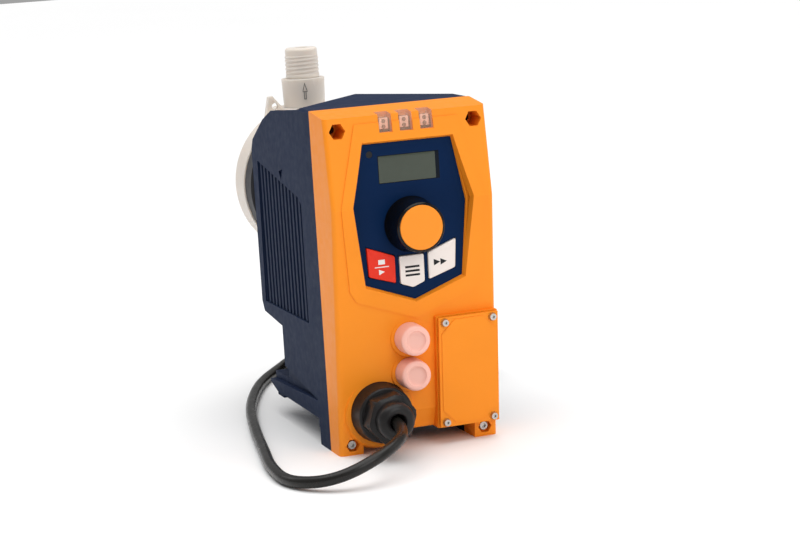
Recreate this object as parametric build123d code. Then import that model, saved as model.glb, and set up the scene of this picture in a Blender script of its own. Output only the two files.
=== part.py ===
"""Solenoid diaphragm dosing pump: orange control front, navy housing, white liquid end.

Frame: +Z up, the control front faces -Y, +X to the right seen from the front.
The origin is on the ground under the middle of the object without its cord.
Sizes are millimetres. Depths are measured from the parting plane between the
front cover and the rear housing, forwards (towards -Y) or backwards.
"""
from build123d import *
import math
import os

os.makedirs("parts", exist_ok=True)

# ---------------------------------------------------------------- driving sizes
HOUSING_WIDTH = 93.4
HOUSING_HEIGHT = 190.0
HOUSING_DEPTH = 125.0        # parting plane to rear wall
REAR_NARROWING = 2.2         # the side walls close in by this towards the rear
SIDE_STEP = 0.8              # the sides stand this far inside the front band
WALL = 3.0
GABLE_DEPTH = 57.0           # the band runs back over the roof in a low gable
GABLE_RISE = 1.5
SIDE_WALL = 5.0              # the finned side walls are thicker
BAND_DEPTH = 19.0
BELT_Z = 138.0               # height of the fold across the front face
FACE_TOP_DEPTH = 23.5        # face of the cover ahead of the parting plane, at the top
FACE_BELT_DEPTH = 30.0       # the same at the fold
FACE_FOOT_DEPTH = 16.0       # the same at the ground
TOP_FALL = 3.0               # the cover's top falls by this towards its face
COVER_WALL = 3.0
COVER_LOW_Z = 10.0           # lower edge of the cover between its lugs
LUG_WIDTH = 13.6
LUG_DEPTH = 18.0
NECK_DEPTH = 85.0            # depth of the narrow lower housing
NECK_TOP_Z = 57.0
PLATE_LOW_Z = 15.0           # foot plate
PLATE_TOP_Z = 25.0
PLATE_DEPTH = 112.0
PLATE_WIDER = 1.7            # the plate stands this far outside the side walls at its rear
SKID_X = 17.0                # stand-off skids under the foot plate
SKID_WIDTH = 9.0
FOOT_HOLE_D = 5.5
FOOT_HOLE_X = 36.0
FOOT_HOLE_Y = (33.0, 95.0)
GROOVE_COUNT = 13
GROOVE_WIDTH = 3.4
GROOVE_DEPTH = 2.6
FIELD_SINK = 0.9             # the finned field lies this far inside the side wall

COVER_SCREW_X = 39.2
COVER_SCREW_TOP_Z = 180.0
COVER_SCREW_LOW_Z = 5.6
PANEL_BACK_DEPTH = 21.4      # rear face of the control panel
PANEL_THICKNESS = 1.6
DISPLAY_Z = 157.0
DISPLAY_WIDTH = 33.0
DISPLAY_HEIGHT = 14.6
KNOB_Z = 125.9
KNOB_BASE_D = 31.0
KNOB_FACE_D = 27.4
KNOB_DEPTH = 17.0            # knob length ahead of the panel
KNOB_DISC_D = 24.4
SHAFT_D = 6.0
CLICK_TRAVEL = 0.5
KEY_TRAVEL = 0.8
WINDOW_PITCH = 11.8
WINDOW_WIDTH = 7.6
WINDOW_LOW_Z = 177.3
LAMP_Z = (180.1, 183.1)
LAMP_D = 2.4

SOCKET_X = -5.0
SOCKET_Z = (63.2, 43.3)
SOCKET_D = 12.0
CAP_D = 17.4
FLANGE_D = 16.0              # socket flange, covered by the cap
CAP_LENGTH = 11.0
BOX_LEFT = 10.0              # raised terminal compartment on the cover
BOX_RIGHT = 46.2
BOX_LOW_Z = 9.4
BOX_TOP_Z = 73.6
BOX_RAISE = 3.2
LID_THICKNESS = 1.9
LID_SCREW_INSET = 3.4
GLAND_X = -23.3
GLAND_Z = 23.2
GLAND_COLLAR_D = 34.0
GLAND_HEX = 27.0
GLAND_DOME_D = 20.0
GLAND_REACH = 50.0           # front of the gland ahead of the parting plane
CABLE_D = 6.5

HEAD_Z = 132.8               # axis of solenoid, diaphragm and dosing head
HEAD_D = 93.0
HEAD_THICKNESS = 19.0
ADAPTER_D = 91.0
ADAPTER_THICKNESS = 16.0
BOSS_DEPTH = 14.0
BOSS_WIDTH = 34.0
VALVE_BODY_D = 26.4
VALVE_THREAD_D = 20.6
VALVE_BODY_LENGTH = 17.5
VALVE_THREAD_LENGTH = 18.5
VALVE_STANDS_AT = 44.6       # valve shoulder from the head's axis
THREAD_RUNOUT = 1.6
BALL_D = 9.5
CHAMBER_LOW = 1.0            # floor of the ball chamber above the valve's shoulder
CHAMBER_D = 15.0
BALL_LIFT = 1.2
HEAD_SCREWS = 6
HEAD_SCREW_PCD = 78.0
SOLENOID_D = 66.0
SOLENOID_LENGTH = 50.0
NOSE_D = 46.0                # narrower rear end of the solenoid
NOSE_LENGTH = 22.0
ARMATURE_D = 34.0
ROD_D = 10.0
STROKE = 1.25
DIAPHRAGM_D = 60.0

# ------------------------------------------------------------- running clearances
SLIDE_GAP = 0.05             # radial gap of a sliding or turning fit
FIT_GAP = 0.1                # gap of a piece that is set into another
BODY_GAP = 0.35              # gap between bodies that only pass each other

# ------------------------------------------------------------------- worked out
HALF = HOUSING_WIDTH / 2
SIDE = HALF - SIDE_STEP
SIDE_REAR = HALF - REAR_NARROWING
HEAD_FRONT = HOUSING_DEPTH + ADAPTER_THICKNESS
HEAD_REAR = HEAD_FRONT + HEAD_THICKNESS
BACK_REACH = HEAD_REAR + BOSS_DEPTH
PARTING_Y = (GLAND_REACH - BACK_REACH) / 2
VALVE_Y = HEAD_FRONT + 14.5
PANEL_FRONT_DEPTH = PANEL_BACK_DEPTH + PANEL_THICKNESS


def face_depth(z):
    """Depth of the folded front face at height z."""
    if z < BELT_Z:
        return FACE_FOOT_DEPTH + (FACE_BELT_DEPTH - FACE_FOOT_DEPTH) * z / BELT_Z
    rise = (z - BELT_Z) / (HOUSING_HEIGHT - BELT_Z)
    return FACE_BELT_DEPTH + (FACE_TOP_DEPTH - FACE_BELT_DEPTH) * rise


# ---------------------------------------------------------------------- helpers
def save(name, *shapes):
    """Write one node: its solids, moved from parting-plane depths to the frame."""
    solids = [s for shape in shapes for s in shape.solids()]
    placed = [Pos(0, PARTING_Y, 0) * s for s in solids]
    export_step(Compound(children=placed) if len(placed) > 1 else placed[0], f"parts/{name}.step")


def block(x0, x1, y0, y1, z0, z1):
    """Box between two corners."""
    return Pos((x0 + x1) / 2, (y0 + y1) / 2, (z0 + z1) / 2) * Box(x1 - x0, y1 - y0, z1 - z0)


def rod_y(diameter, y0, y1, x=0.0, z=0.0):
    """Cylinder along Y."""
    return Pos(x, (y0 + y1) / 2, z) * Rot(90, 0, 0) * Cylinder(diameter / 2, y1 - y0)


def rod_z(diameter, z0, z1, x=0.0, y=0.0):
    """Cylinder along Z."""
    return Pos(x, y, (z0 + z1) / 2) * Cylinder(diameter / 2, z1 - z0)


def cone_y(d_front, d_rear, y0, y1, x=0.0, z=0.0):
    """Cone along Y, d_front across at y0 and d_rear at y1."""
    return Pos(x, (y0 + y1) / 2, z) * Rot(90, 0, 0) * Cone(d_rear / 2, d_front / 2, y1 - y0)


def turned_y(points, x=0.0, z=0.0):
    """Solid of revolution about Y from (radius, y) points."""
    outline = make_face(Polyline([(r, y, 0) for r, y in points], close=True))
    return Pos(x, 0, z) * revolve(outline, Axis.Y)


def turned_z(points, x=0.0, y=0.0):
    """Solid of revolution about Z from (radius, z) points."""
    outline = make_face(Polyline([(r, 0, z) for r, z in points], close=True))
    return Pos(x, y, 0) * revolve(outline, Axis.Z)


def slab_x(points, x0, x1):
    """Prism along X from (y, z) points."""
    outline = make_face(Polyline([(x0, y, z) for y, z in points], close=True))
    return extrude(outline, amount=x1 - x0, dir=(1, 0, 0))


def slab_y(points, y0, y1):
    """Prism along Y from (x, z) points."""
    outline = make_face(Polyline([(x, y0, z) for x, z in points], close=True))
    return extrude(outline, amount=y1 - y0, dir=(0, 1, 0))


def slab_z(points, z0, z1):
    """Prism along Z from (x, y) points."""
    outline = make_face(Polyline([(x, y, z0) for x, y in points], close=True))
    return extrude(outline, amount=z1 - z0, dir=(0, 0, 1))


def hex_y(flats, y0, y1, x, z, turn=0.0):
    """Hexagonal prism along Y."""
    radius = flats / 2 / math.cos(math.pi / 6)
    angles = [math.radians(60 * k + turn) for k in range(6)]
    return slab_y([(x + radius * math.cos(a), z + radius * math.sin(a)) for a in angles], y0, y1)


def mirrored(points):
    """Close a left-right symmetric outline, given its right half from top to bottom."""
    return points + [(-x, z) for x, z in reversed(points) if abs(x) > 1e-6]


def tapered_hole(front, rear, y_front, y_rear):
    """Loft between two outlines of the same corners, one in front of the other."""
    near = make_face(Polyline([(x, y_front, z) for x, z in front], close=True))
    far = make_face(Polyline([(x, y_rear, z) for x, z in rear], close=True))
    return loft([near, far], ruled=True)


def pan_screw_y(head_d, head_h, shank_d, shank_l, y_head, x, z, socket):
    """Pan-head screw whose head seats at y_head and whose shank runs to +Y."""
    head = cone_y(head_d * 0.8, head_d, y_head - head_h, y_head, x, z)
    shank = rod_y(shank_d, y_head, y_head + shank_l, x, z)
    drive = hex_y(socket, y_head - head_h, y_head - head_h * 0.4, x, z)
    return head + shank - drive


# ------------------------------------------------------------------ rear housing
ROOF_LINE = [(BAND_DEPTH, 189.0), (78.0, 184.4), (97.0, 177.7), (115.7, 167.3), (121.5, 164.0)]
ROOF_SINK = 3.0


def housing_outline(sink=0.0):
    """Side view of the housing as (depth, height) points; sink lowers the roof."""
    roof = [(y, z - sink) for y, z in ROOF_LINE]
    rear = [(HOUSING_DEPTH, 158.0), (HOUSING_DEPTH, 66.0), (HOUSING_DEPTH - 4.0, 60.3)]
    rear += [(NECK_DEPTH, NECK_TOP_Z)]
    low = [(NECK_DEPTH, PLATE_TOP_Z), (0, PLATE_TOP_Z), (0, roof[0][1])]
    return roof + rear + low


def tapered_block(front_x, rear_x, z0, z1, y0=0.0, y1=HOUSING_DEPTH):
    """Block whose sides close in evenly towards the rear."""
    return slab_z([(-front_x, y0), (front_x, y0), (rear_x, y1), (-rear_x, y1)], z0, z1)


def side_field(side):
    """Cutter of one finned field: a shallow parallelogram with upright grooves."""
    field = [(29.0, 135.0), (33.0, 138.5), (114.0, 152.0), (117.0, 66.8), (29.5, 67.6)]
    outline = slab_x(field, 0, HALF + 1)
    slope = (SIDE - SIDE_REAR) / HOUSING_DEPTH
    sunk = SIDE - FIELD_SINK
    keep = tapered_block(sunk, sunk - slope * HOUSING_DEPTH, 60, 160)
    cutter = outline - keep
    floor_x = sunk - GROOVE_DEPTH
    groove_keep = tapered_block(floor_x, floor_x - slope * HOUSING_DEPTH, 60, 160)
    pitch = (117.0 - 29.5) / GROOVE_COUNT
    for k in range(GROOVE_COUNT):
        y = 29.5 + pitch * (k + 0.5)
        groove = block(0, HALF + 1, y - GROOVE_WIDTH / 2, y + GROOVE_WIDTH / 2, 60, 160) & outline
        cutter += groove - groove_keep
    return cutter if side > 0 else mirror(cutter, Plane.YZ)


def rear_housing():
    """Moulded rear shell with its roof, finned sides, neck, foot plate and skids."""
    shell = slab_x(housing_outline(ROOF_SINK), -HALF, HALF)
    shell &= tapered_block(SIDE, SIDE_REAR, 0, HOUSING_HEIGHT)
    lips = slab_x(housing_outline(), -HALF, HALF)
    lips &= tapered_block(SIDE, SIDE_REAR, 0, HOUSING_HEIGHT)
    lips -= block(3.0 - SIDE_REAR, SIDE_REAR - 3.0, -1, HOUSING_DEPTH + 1, 0, HOUSING_HEIGHT + 1)
    shell += lips
    # the front band, with the low gable that runs back over the roof
    band = block(-HALF, HALF, 0, BAND_DEPTH, COVER_LOW_Z, HOUSING_HEIGHT)
    gable = [(-HALF, 0), (HALF, 0), (HALF, BAND_DEPTH), (0, GABLE_DEPTH), (-HALF, BAND_DEPTH)]
    fall = [(0, 170.0), (0, HOUSING_HEIGHT), (BAND_DEPTH, HOUSING_HEIGHT)]
    fall += [(GABLE_DEPTH, HOUSING_HEIGHT + GABLE_RISE), (GABLE_DEPTH, 170.0)]
    band = chamfer(band.edges().filter_by(Axis.Y).group_by(Axis.Z)[-1], 1.2)
    shell += band
    shell += slab_z(gable, HOUSING_HEIGHT - 12, HOUSING_HEIGHT + 5) & slab_x(fall, 1.2 - HALF, HALF - 1.2)
    for side in (-1, 1):
        x0, x1 = sorted((side * HALF, side * (HALF - LUG_WIDTH)))
        shell += block(x0, x1, 0, LUG_DEPTH, 0, PLATE_TOP_Z)
    # foot plate, skids and corner nubs
    plate_rear = SIDE - (SIDE - SIDE_REAR) * PLATE_DEPTH / HOUSING_DEPTH + PLATE_WIDER
    plate = tapered_block(HALF, plate_rear, PLATE_LOW_Z, PLATE_TOP_Z, 0, PLATE_DEPTH)
    upturn = [(PLATE_DEPTH - 16, PLATE_LOW_Z - 1), (PLATE_DEPTH + 1, PLATE_LOW_Z + 4)]
    upturn += [(PLATE_DEPTH + 1, PLATE_LOW_Z - 1)]
    shell += plate - slab_x(upturn, -HALF, HALF)
    for side in (-1, 1):
        skid = side * SKID_X
        shell += block(skid - SKID_WIDTH / 2, skid + SKID_WIDTH / 2, 40, PLATE_DEPTH - 12, 0, PLATE_LOW_Z + 1)
        edge = side * (plate_rear - 5)
        nub = (PLATE_DEPTH - 22, PLATE_DEPTH - 10, PLATE_LOW_Z - 2.5, PLATE_LOW_Z + 3)
        shell += block(edge - 4, edge + 4, *nub)
    # hollow inside: upper room, neck room and the open band
    inner_roof = [(y - 2, z - ROOF_SINK - WALL) for y, z in ROOF_LINE]
    room = inner_roof + [(HOUSING_DEPTH - WALL, 156.0), (HOUSING_DEPTH - WALL, 68.0)]
    room += [(HOUSING_DEPTH - 5, 64.0)]
    room += [(NECK_DEPTH - WALL, NECK_TOP_Z + WALL), (NECK_DEPTH - WALL, PLATE_TOP_Z + WALL)]
    room += [(-1, PLATE_TOP_Z + WALL), (-1, inner_roof[0][1])]
    hollow = slab_x(room, -HALF, HALF)
    hollow &= tapered_block(SIDE - SIDE_WALL, SIDE_REAR - SIDE_WALL, 0, HOUSING_HEIGHT)
    hollow += block(-SIDE + SIDE_WALL, SIDE - SIDE_WALL, -1, BAND_DEPTH - 4, COVER_LOW_Z + WALL, 183)
    shell -= hollow
    shell -= side_field(1) + side_field(-1)
    # wedge pockets where the neck meets the foot plate
    for side in (-1, 1):
        pocket = [(24.0, PLATE_TOP_Z), (NECK_DEPTH + 1, PLATE_TOP_Z), (NECK_DEPTH + 1, PLATE_TOP_Z + 8)]
        x0, x1 = sorted((side * HALF, side * (SIDE_REAR - 1.6)))
        shell -= slab_x(pocket, x0, x1)
        fall = [(24.0, PLATE_TOP_Z), (PLATE_DEPTH + 1, PLATE_TOP_Z - 4.4), (PLATE_DEPTH + 1, PLATE_TOP_Z + 1)]
        shell -= slab_x(fall, x0, x1)
    # openings: solenoid nose, foot holes, cover screw holes, gasket groove, marker dimple
    shell -= rod_y(ROD_D + 14, HOUSING_DEPTH - WALL - 1, HOUSING_DEPTH + 1, 0, HEAD_Z)
    for angle in range(45, 360, 90):
        x, z = yoke_bolt(angle)
        shell -= rod_y(4.4, HOUSING_DEPTH - 20, HOUSING_DEPTH + 1, x, z)
    for side in (-1, 1):
        for y in FOOT_HOLE_Y:
            shell -= rod_z(FOOT_HOLE_D, PLATE_LOW_Z - 4, PLATE_TOP_Z + 1, side * FOOT_HOLE_X, y)
            relief = rod_z(FOOT_HOLE_D + 5, PLATE_TOP_Z, PLATE_TOP_Z + 1, side * FOOT_HOLE_X, y)
            shell -= relief
    for x, z in cover_screw_places():
        if z > BELT_Z:
            shell += rod_y(8.0, 0, 14, x, z) & block(-HALF, HALF, 0, 14, 0, HOUSING_HEIGHT - WALL)
        shell -= rod_y(3.0, -1, 12, x, z)
    shell -= gasket_frame(0.0)
    dimple = slab_x([(62, 152), (70, 150), (66, 145)], SIDE_REAR - 0.5, HALF + 1)
    shell -= dimple + mirror(dimple, Plane.YZ)
    return shell


def cover_screw_places():
    """The four screws that hold the cover, as (x, z)."""
    return [(s * COVER_SCREW_X, z) for z in (COVER_SCREW_TOP_Z, COVER_SCREW_LOW_Z) for s in (-1, 1)]


def gasket_frame(gap):
    """Square-section seal between cover and housing, in a groove of the housing rim."""
    outer = block(-43.6, 43.6, 0, 1.4 - gap, 12.0, 186.6)
    inner = block(-42.0, 42.0, -1, 3, 13.6 - 0.6, 185.0)
    return outer - inner


# -------------------------------------------------------------------- front cover
PANEL = [(25.9, 171.6), (32.6, 136.2), (28.2, 94.8), (0.0, 84.2)]
SHIELD = [(29.6, 183.0), (41.6, BELT_Z + 0.5), (38.2, 92.5), (34.6, 86.4), (0.0, 73.8)]
SHIELD_RAISE = 0.6


def cover_profile(inset=0.0):
    """Side view of the cover; inset moves it inwards by a wall."""
    top, low = HOUSING_HEIGHT - inset, COVER_LOW_Z + inset
    chin = face_depth(21.0) - inset
    fold = HOUSING_HEIGHT - TOP_FALL
    upper = [(1, top), (-2, top), (-face_depth(fold) + inset, fold - inset)]
    upper += [(-FACE_BELT_DEPTH + inset, BELT_Z)]
    return upper + [(-chin, 21.0), (-FACE_FOOT_DEPTH + 2.5 + inset, low), (1, low)]


def cover_outer():
    """Outer form of the cover without openings."""
    skin = slab_x(cover_profile(), -HALF, HALF) & block(-HALF, HALF, -60, 0, 0, 300)
    lugs = []
    for side in (-1, 1):
        x0, x1 = sorted((side * HALF, side * (HALF - LUG_WIDTH)))
        points = [(0, 0), (-FACE_FOOT_DEPTH, 0), (-face_depth(21.0), 21.0), (0, 21.0)]
        lugs.append(slab_x(points, x0, x1))
    for lug in lugs:
        skin += lug
    uprights = skin.edges().filter_by(lambda e: abs(e.center().X) > HALF - 0.01 and e.center().Y < -2)
    long_ones = uprights.filter_by(lambda e: abs(e.tangent_at(0.5).Z) > 0.9 and e.length > 20)
    return fillet(long_ones, 2.6)


def terminal_box_solid():
    """Raised terminal compartment, parallel to the lower face."""
    depth = BOX_RAISE
    points = [(0.5 - 6, BOX_LOW_Z), (-face_depth(BOX_LOW_Z) - depth, BOX_LOW_Z),
              (-face_depth(BOX_TOP_Z) - depth, BOX_TOP_Z), (-6, BOX_TOP_Z)]
    return slab_x(points, BOX_LEFT, BOX_RIGHT)


def window_cutter(index, gap):
    """Room of one status window, which wraps over the top edge."""
    x = index * WINDOW_PITCH
    half = WINDOW_WIDTH / 2 - gap
    low = block(x - half, x + half, -40, -17.0 - gap, WINDOW_LOW_Z + gap, HOUSING_HEIGHT + 5)
    return low


def front_cover():
    """Moulded front cover: folded face, bezel, terminal compartment and lugs."""
    skin = cover_outer()
    box = terminal_box_solid()
    raised = slab_y(mirrored(SHIELD), -60, -1)
    raised &= slab_x([(y - SHIELD_RAISE, z) for y, z in cover_profile()], -HALF, HALF)
    raised &= block(-HALF, HALF, -60, -1, 60, 184)
    skin += raised + box
    # bosses round the sockets and the gland
    for z in SOCKET_Z:
        skin += cone_y(21.0, 23.4, -face_depth(z) - 1.0, -face_depth(z) + 2.5, SOCKET_X, z)
    boss = cone_y(39.0, 43.0, -face_depth(GLAND_Z) - 1.6, -face_depth(GLAND_Z) + 4, GLAND_X, GLAND_Z)
    skin += boss & block(-HALF + 0.5, HALF, -40, 0, 2, 100)
    skin -= slab_x(cover_profile(COVER_WALL), -HALF + COVER_WALL, HALF - COVER_WALL)
    skin -= rod_y(GLAND_COLLAR_D + 0.6, -40, -GLAND_SEAT, GLAND_X, GLAND_Z)
    skin -= block(BOX_LEFT + 4.8, BOX_RIGHT - 6.0, -face_depth(40) - 6, -12, BOX_LOW_Z + 8, BOX_TOP_Z - 8)
    # the pads that the panel and the display stand on close the opening's edge
    around = [(x + 3.5, z + (3 if z > 100 else -3)) for x, z in PANEL[:3]] + [(0.0, 79.0)]
    frame = slab_y(mirrored(around), -face_depth(90) + 1, -PANEL_BACK_DEPTH + 3)
    frame &= block(-HALF + 2, HALF - 2, -60, 0, 70, 184)
    skin += frame
    mouth = mirrored(OPENING_FRONT)
    skin -= tapered_hole(mouth, mirrored(PANEL), -FACE_BELT_DEPTH - 1.0, -PANEL_FRONT_DEPTH)
    skin -= slab_y(mirrored(PANEL), -PANEL_FRONT_DEPTH - 0.01, -PANEL_BACK_DEPTH)
    shrink = [(x - 2.2, z + (-2.2 if z > 130 else 2.2)) for x, z in PANEL[:3]] + [(0.0, 87.5)]
    skin -= slab_y(mirrored(shrink), -PANEL_BACK_DEPTH - 0.01, -10) & pad_room()
    # windows, sockets, gland, screws
    for index in (-1, 0, 1):
        skin -= window_cutter(index, 0.0)
    for z in SOCKET_Z:
        skin -= rod_y(SOCKET_D + 2 * FIT_GAP + 3.0, -40, 0, SOCKET_X, z)
    skin -= rod_y(20.0 + 2 * FIT_GAP, -40, 0, GLAND_X, GLAND_Z)
    for x, z in cover_screw_places():
        if z > BELT_Z:
            x0, x1 = sorted((x - math.copysign(4.8, x), x + math.copysign(6.5, x)))
            post = block(x0, x1, -40, 0, z - 4.8, z + 9.0)
            skin += post & slab_x(cover_profile(0.8), -HALF + 0.8, HALF - 0.8)
            skin -= hex_y(8.1, -40, -10.0, x, z)
        else:
            skin -= hex_y(6.8, -40, -FACE_FOOT_DEPTH + 3.5, x, z)
        skin -= rod_y(3.4, -40, 1, x, z)
    for x, z in lid_screw_places():
        skin -= rod_y(2.2, -face_depth(z) - BOX_RAISE - 2, -face_depth(z) + 4, x, z)
    return skin


OPENING_FRONT = [(26.6, 174.6), (35.0, BELT_Z + 1.2), (30.4, 92.4), (0.0, 80.2)]


def pad_room():
    """The space behind the panel that stays open for display, knob and keys."""
    return block(-HALF, HALF, -40, 0, 60, 190)


def lid_screw_places():
    """The four screws of the terminal cover, as (x, z)."""
    xs = (BOX_LEFT + LID_SCREW_INSET + 0.6, BOX_RIGHT - LID_SCREW_INSET - 0.6)
    zs = (BOX_LOW_Z + LID_SCREW_INSET, BOX_TOP_Z - LID_SCREW_INSET)
    return [(x, z) for z in zs for x in xs]


def lid_slab(raise_low, raise_high, edge):
    """Plate parallel to the lower face between two heights above it."""
    points = [(-face_depth(BOX_LOW_Z + edge) - raise_low, BOX_LOW_Z + edge),
              (-face_depth(BOX_LOW_Z + edge) - raise_high, BOX_LOW_Z + edge),
              (-face_depth(BOX_TOP_Z - edge) - raise_high, BOX_TOP_Z - edge),
              (-face_depth(BOX_TOP_Z - edge) - raise_low, BOX_TOP_Z - edge)]
    return slab_x(points, BOX_LEFT + edge, BOX_RIGHT - edge)


SEAL_THICKNESS = 0.8


def terminal_seal():
    """Flat seal under the terminal cover."""
    ring = lid_slab(BOX_RAISE, BOX_RAISE + SEAL_THICKNESS, 1.2)
    ring -= block(BOX_LEFT + 4.2, BOX_RIGHT - 5.4, -60, 0, BOX_LOW_Z + 7.4, BOX_TOP_Z - 7.4)
    for x, z in lid_screw_places():
        ring -= rod_y(3.0, -60, 0, x, z)
    return ring


def terminal_cover():
    """Flat cover of the terminal compartment with a shallow embossed shield line."""
    low = BOX_RAISE + SEAL_THICKNESS
    lid = lid_slab(low, low + LID_THICKNESS, 0.6)
    left, right = BOX_LEFT + 2.2, BOX_RIGHT - 2.2
    foot, top = BOX_LOW_Z + 2.6, BOX_TOP_Z - 2.2
    cut = LID_SCREW_INSET + 4.4
    shield = [(left, foot + cut), (left + cut, foot), (right - cut, foot), (right, foot + cut)]
    shield += [(right, top - cut), (right - cut, top), (left + cut, top), (left, top - cut)]
    lid += slab_y(shield, -60, 0) & lid_slab(low, low + LID_THICKNESS + 0.4, 2.0)
    for x, z in lid_screw_places():
        lid -= rod_y(2.8, -60, 0, x, z)
    return lid


def terminal_cover_screws():
    """Four pan-head screws of the terminal cover."""
    seat = BOX_RAISE + SEAL_THICKNESS + LID_THICKNESS
    return [pan_screw_y(4.6, 1.9, 2.1, 7.0, -face_depth(z) - seat - 0.25, x, z, 1.6)
            for x, z in lid_screw_places()]


def cover_screws():
    """Two long screws in the upper corners and two short ones in the lugs."""
    screws = []
    for x, z in cover_screw_places():
        seat = -10.2 if z > BELT_Z else -FACE_FOOT_DEPTH + 3.3
        screws.append(pan_screw_y(5.6, 2.2, 2.9, abs(seat) + 8, seat, x, z, 2.5))
    return screws


# ------------------------------------------------------------- panel, display, keys
STOP_KEY = [(-26.6, 115.4), (-10.6, 109.4), (-10.8, 94.4), (-26.0, 99.2)]
MENU_KEY = [(-8.0, 108.9), (5.4 + 0.8, 108.9), (5.2 + 0.8, 93.6), (-0.9, 91.0), (-8.0, 93.6)]
PRIME_KEY = [(8.7, 109.2), (25.4, 115.4), (24.2, 99.4), (8.6, 94.4)]
KEYS = {"stop_key": STOP_KEY, "menu_key": MENU_KEY, "prime_key": PRIME_KEY}


def grown(points, by):
    """Outline moved outwards from its middle by a small gap."""
    wire = Polyline([(x, z, 0) for x, z in points], close=True)
    face = offset(make_face(wire), amount=by, kind=Kind.INTERSECTION)
    corners = face.faces()[0].outer_wire().order_edges()
    return [(e.position_at(0).X, e.position_at(0).Y) for e in corners]


def fascia_panel():
    """Flat navy panel with its display window, knob hole and key holes."""
    outline = [(x - FIT_GAP * 1.5, z) for x, z in PANEL[:3]] + [(0.0, 84.2 + 0.2)]
    plate = slab_y(mirrored(outline), -PANEL_FRONT_DEPTH, -PANEL_BACK_DEPTH)
    plate &= block(-HALF, HALF, -60, 0, 80, PANEL[0][1] - 0.15)
    half_w, half_h = DISPLAY_WIDTH / 2 + FIT_GAP, DISPLAY_HEIGHT / 2 + FIT_GAP
    plate -= block(-half_w, half_w, -60, 0, DISPLAY_Z - half_h, DISPLAY_Z + half_h)
    plate -= rod_y(10.4, -60, 0, 0, KNOB_Z)
    plate -= rod_y(3.6 + 2 * FIT_GAP, -60, 0, -21.4, 165.8)
    for outline in KEYS.values():
        plate -= slab_y(grown(outline, BODY_GAP), -60, 0)
    return plate


def display_window():
    """Clear window pane over the display."""
    w, h = DISPLAY_WIDTH / 2, DISPLAY_HEIGHT / 2
    return block(-w, w, -PANEL_FRONT_DEPTH + 0.2, -PANEL_BACK_DEPTH + 0.4, DISPLAY_Z - h, DISPLAY_Z + h)


def lcd_module():
    """Liquid-crystal module behind the window, with its metal bezel."""
    w, h = DISPLAY_WIDTH / 2 + 2, DISPLAY_HEIGHT / 2 + 3
    body = block(-w, w, -PANEL_BACK_DEPTH + 0.6, -BOARD_DEPTH, DISPLAY_Z - h, DISPLAY_Z + h)
    low, high = DISPLAY_Z - h + 3.4, DISPLAY_Z + h - 3.4
    recess = block(-w + 2.5, w - 2.5, -PANEL_BACK_DEPTH + 0.5, -PANEL_BACK_DEPTH + 1.4, low, high)
    return body - recess


BOARD_DEPTH = 13.0
BOARD_THICKNESS = 1.6


def control_board():
    """Circuit board behind the panel with its larger components."""
    outline = [(27.0, 171.0), (31.0, 138.0), (27.0, 93.0), (10.0, 90.0)]
    board = slab_y(mirrored(outline), -BOARD_DEPTH, -BOARD_DEPTH + BOARD_THICKNESS)
    rear = -BOARD_DEPTH + BOARD_THICKNESS
    board += block(-9, 5, rear, rear + 2.2, 146, 160)
    board += block(10, 22, rear, rear + 1.8, 120, 128)
    board += block(-24, -12, rear, rear + 6.0, 96, 102)
    for x in (-20, -14, 14, 20):
        board += rod_y(5.0, rear, rear + 7.0, x, 112)
    return board


def encoder_body():
    """Rotary encoder with its threaded bush, soldered to the board."""
    body = block(-6.5, 6.5, -BOARD_DEPTH - 6.0, -BOARD_DEPTH, KNOB_Z - 6.5, KNOB_Z + 6.5)
    bush = rod_y(9.0, -PANEL_FRONT_DEPTH - 0.4, -BOARD_DEPTH - 6.0, 0, KNOB_Z)
    bore = rod_y(SHAFT_D + 2 * SLIDE_GAP, -60, -BOARD_DEPTH - 2.0, 0, KNOB_Z)
    return body + bush - bore


def knob_shaft():
    """Metal shaft of the knob, in the bush of the encoder."""
    return rod_y(SHAFT_D, -PANEL_FRONT_DEPTH - 12.0, -BOARD_DEPTH - 2.0 - CLICK_TRAVEL - 1.3, 0, KNOB_Z)


def click_plunger():
    """Small plunger behind the shaft that works the encoder's push switch."""
    rear = -BOARD_DEPTH - 2.0 - CLICK_TRAVEL - 0.15
    return rod_y(SHAFT_D - 1.0, rear - 1.1, rear, 0, KNOB_Z)


def control_knob():
    """Black knob, slightly conical, with a recess for the coloured disc."""
    rear = -PANEL_FRONT_DEPTH - BODY_GAP - CLICK_TRAVEL
    front = rear - KNOB_DEPTH + 1.0
    body = cone_y(KNOB_FACE_D, KNOB_BASE_D, front, rear, 0, KNOB_Z)
    rim = body.edges().group_by(Axis.Y)[0]
    body = fillet(rim, 1.0)
    body -= rod_y(KNOB_DISC_D + 2 * FIT_GAP, front - 1, front + 1.2, 0, KNOB_Z)
    body -= rod_y(12.0, rear - 5.0, rear + 1, 0, KNOB_Z)
    body -= rod_y(SHAFT_D + 2 * 0.0, -PANEL_FRONT_DEPTH - 12.0, rear + 1, 0, KNOB_Z)
    return body


def knob_disc():
    """Coloured disc set into the front of the knob."""
    front = -PANEL_FRONT_DEPTH - BODY_GAP - CLICK_TRAVEL - KNOB_DEPTH + 1.0
    disc = rod_y(KNOB_DISC_D, front - 0.3, front + 1.2, 0, KNOB_Z)
    return chamfer(disc.edges().group_by(Axis.Y)[0], 0.25)


def key_cap(points):
    """One key: a face just proud of the panel and a flange behind it."""
    front = slab_y(points, -PANEL_FRONT_DEPTH - 1.0, -PANEL_BACK_DEPTH + 2.2)
    corners = front.edges().filter_by(Axis.Y)
    return fillet(corners, 0.9)


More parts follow.
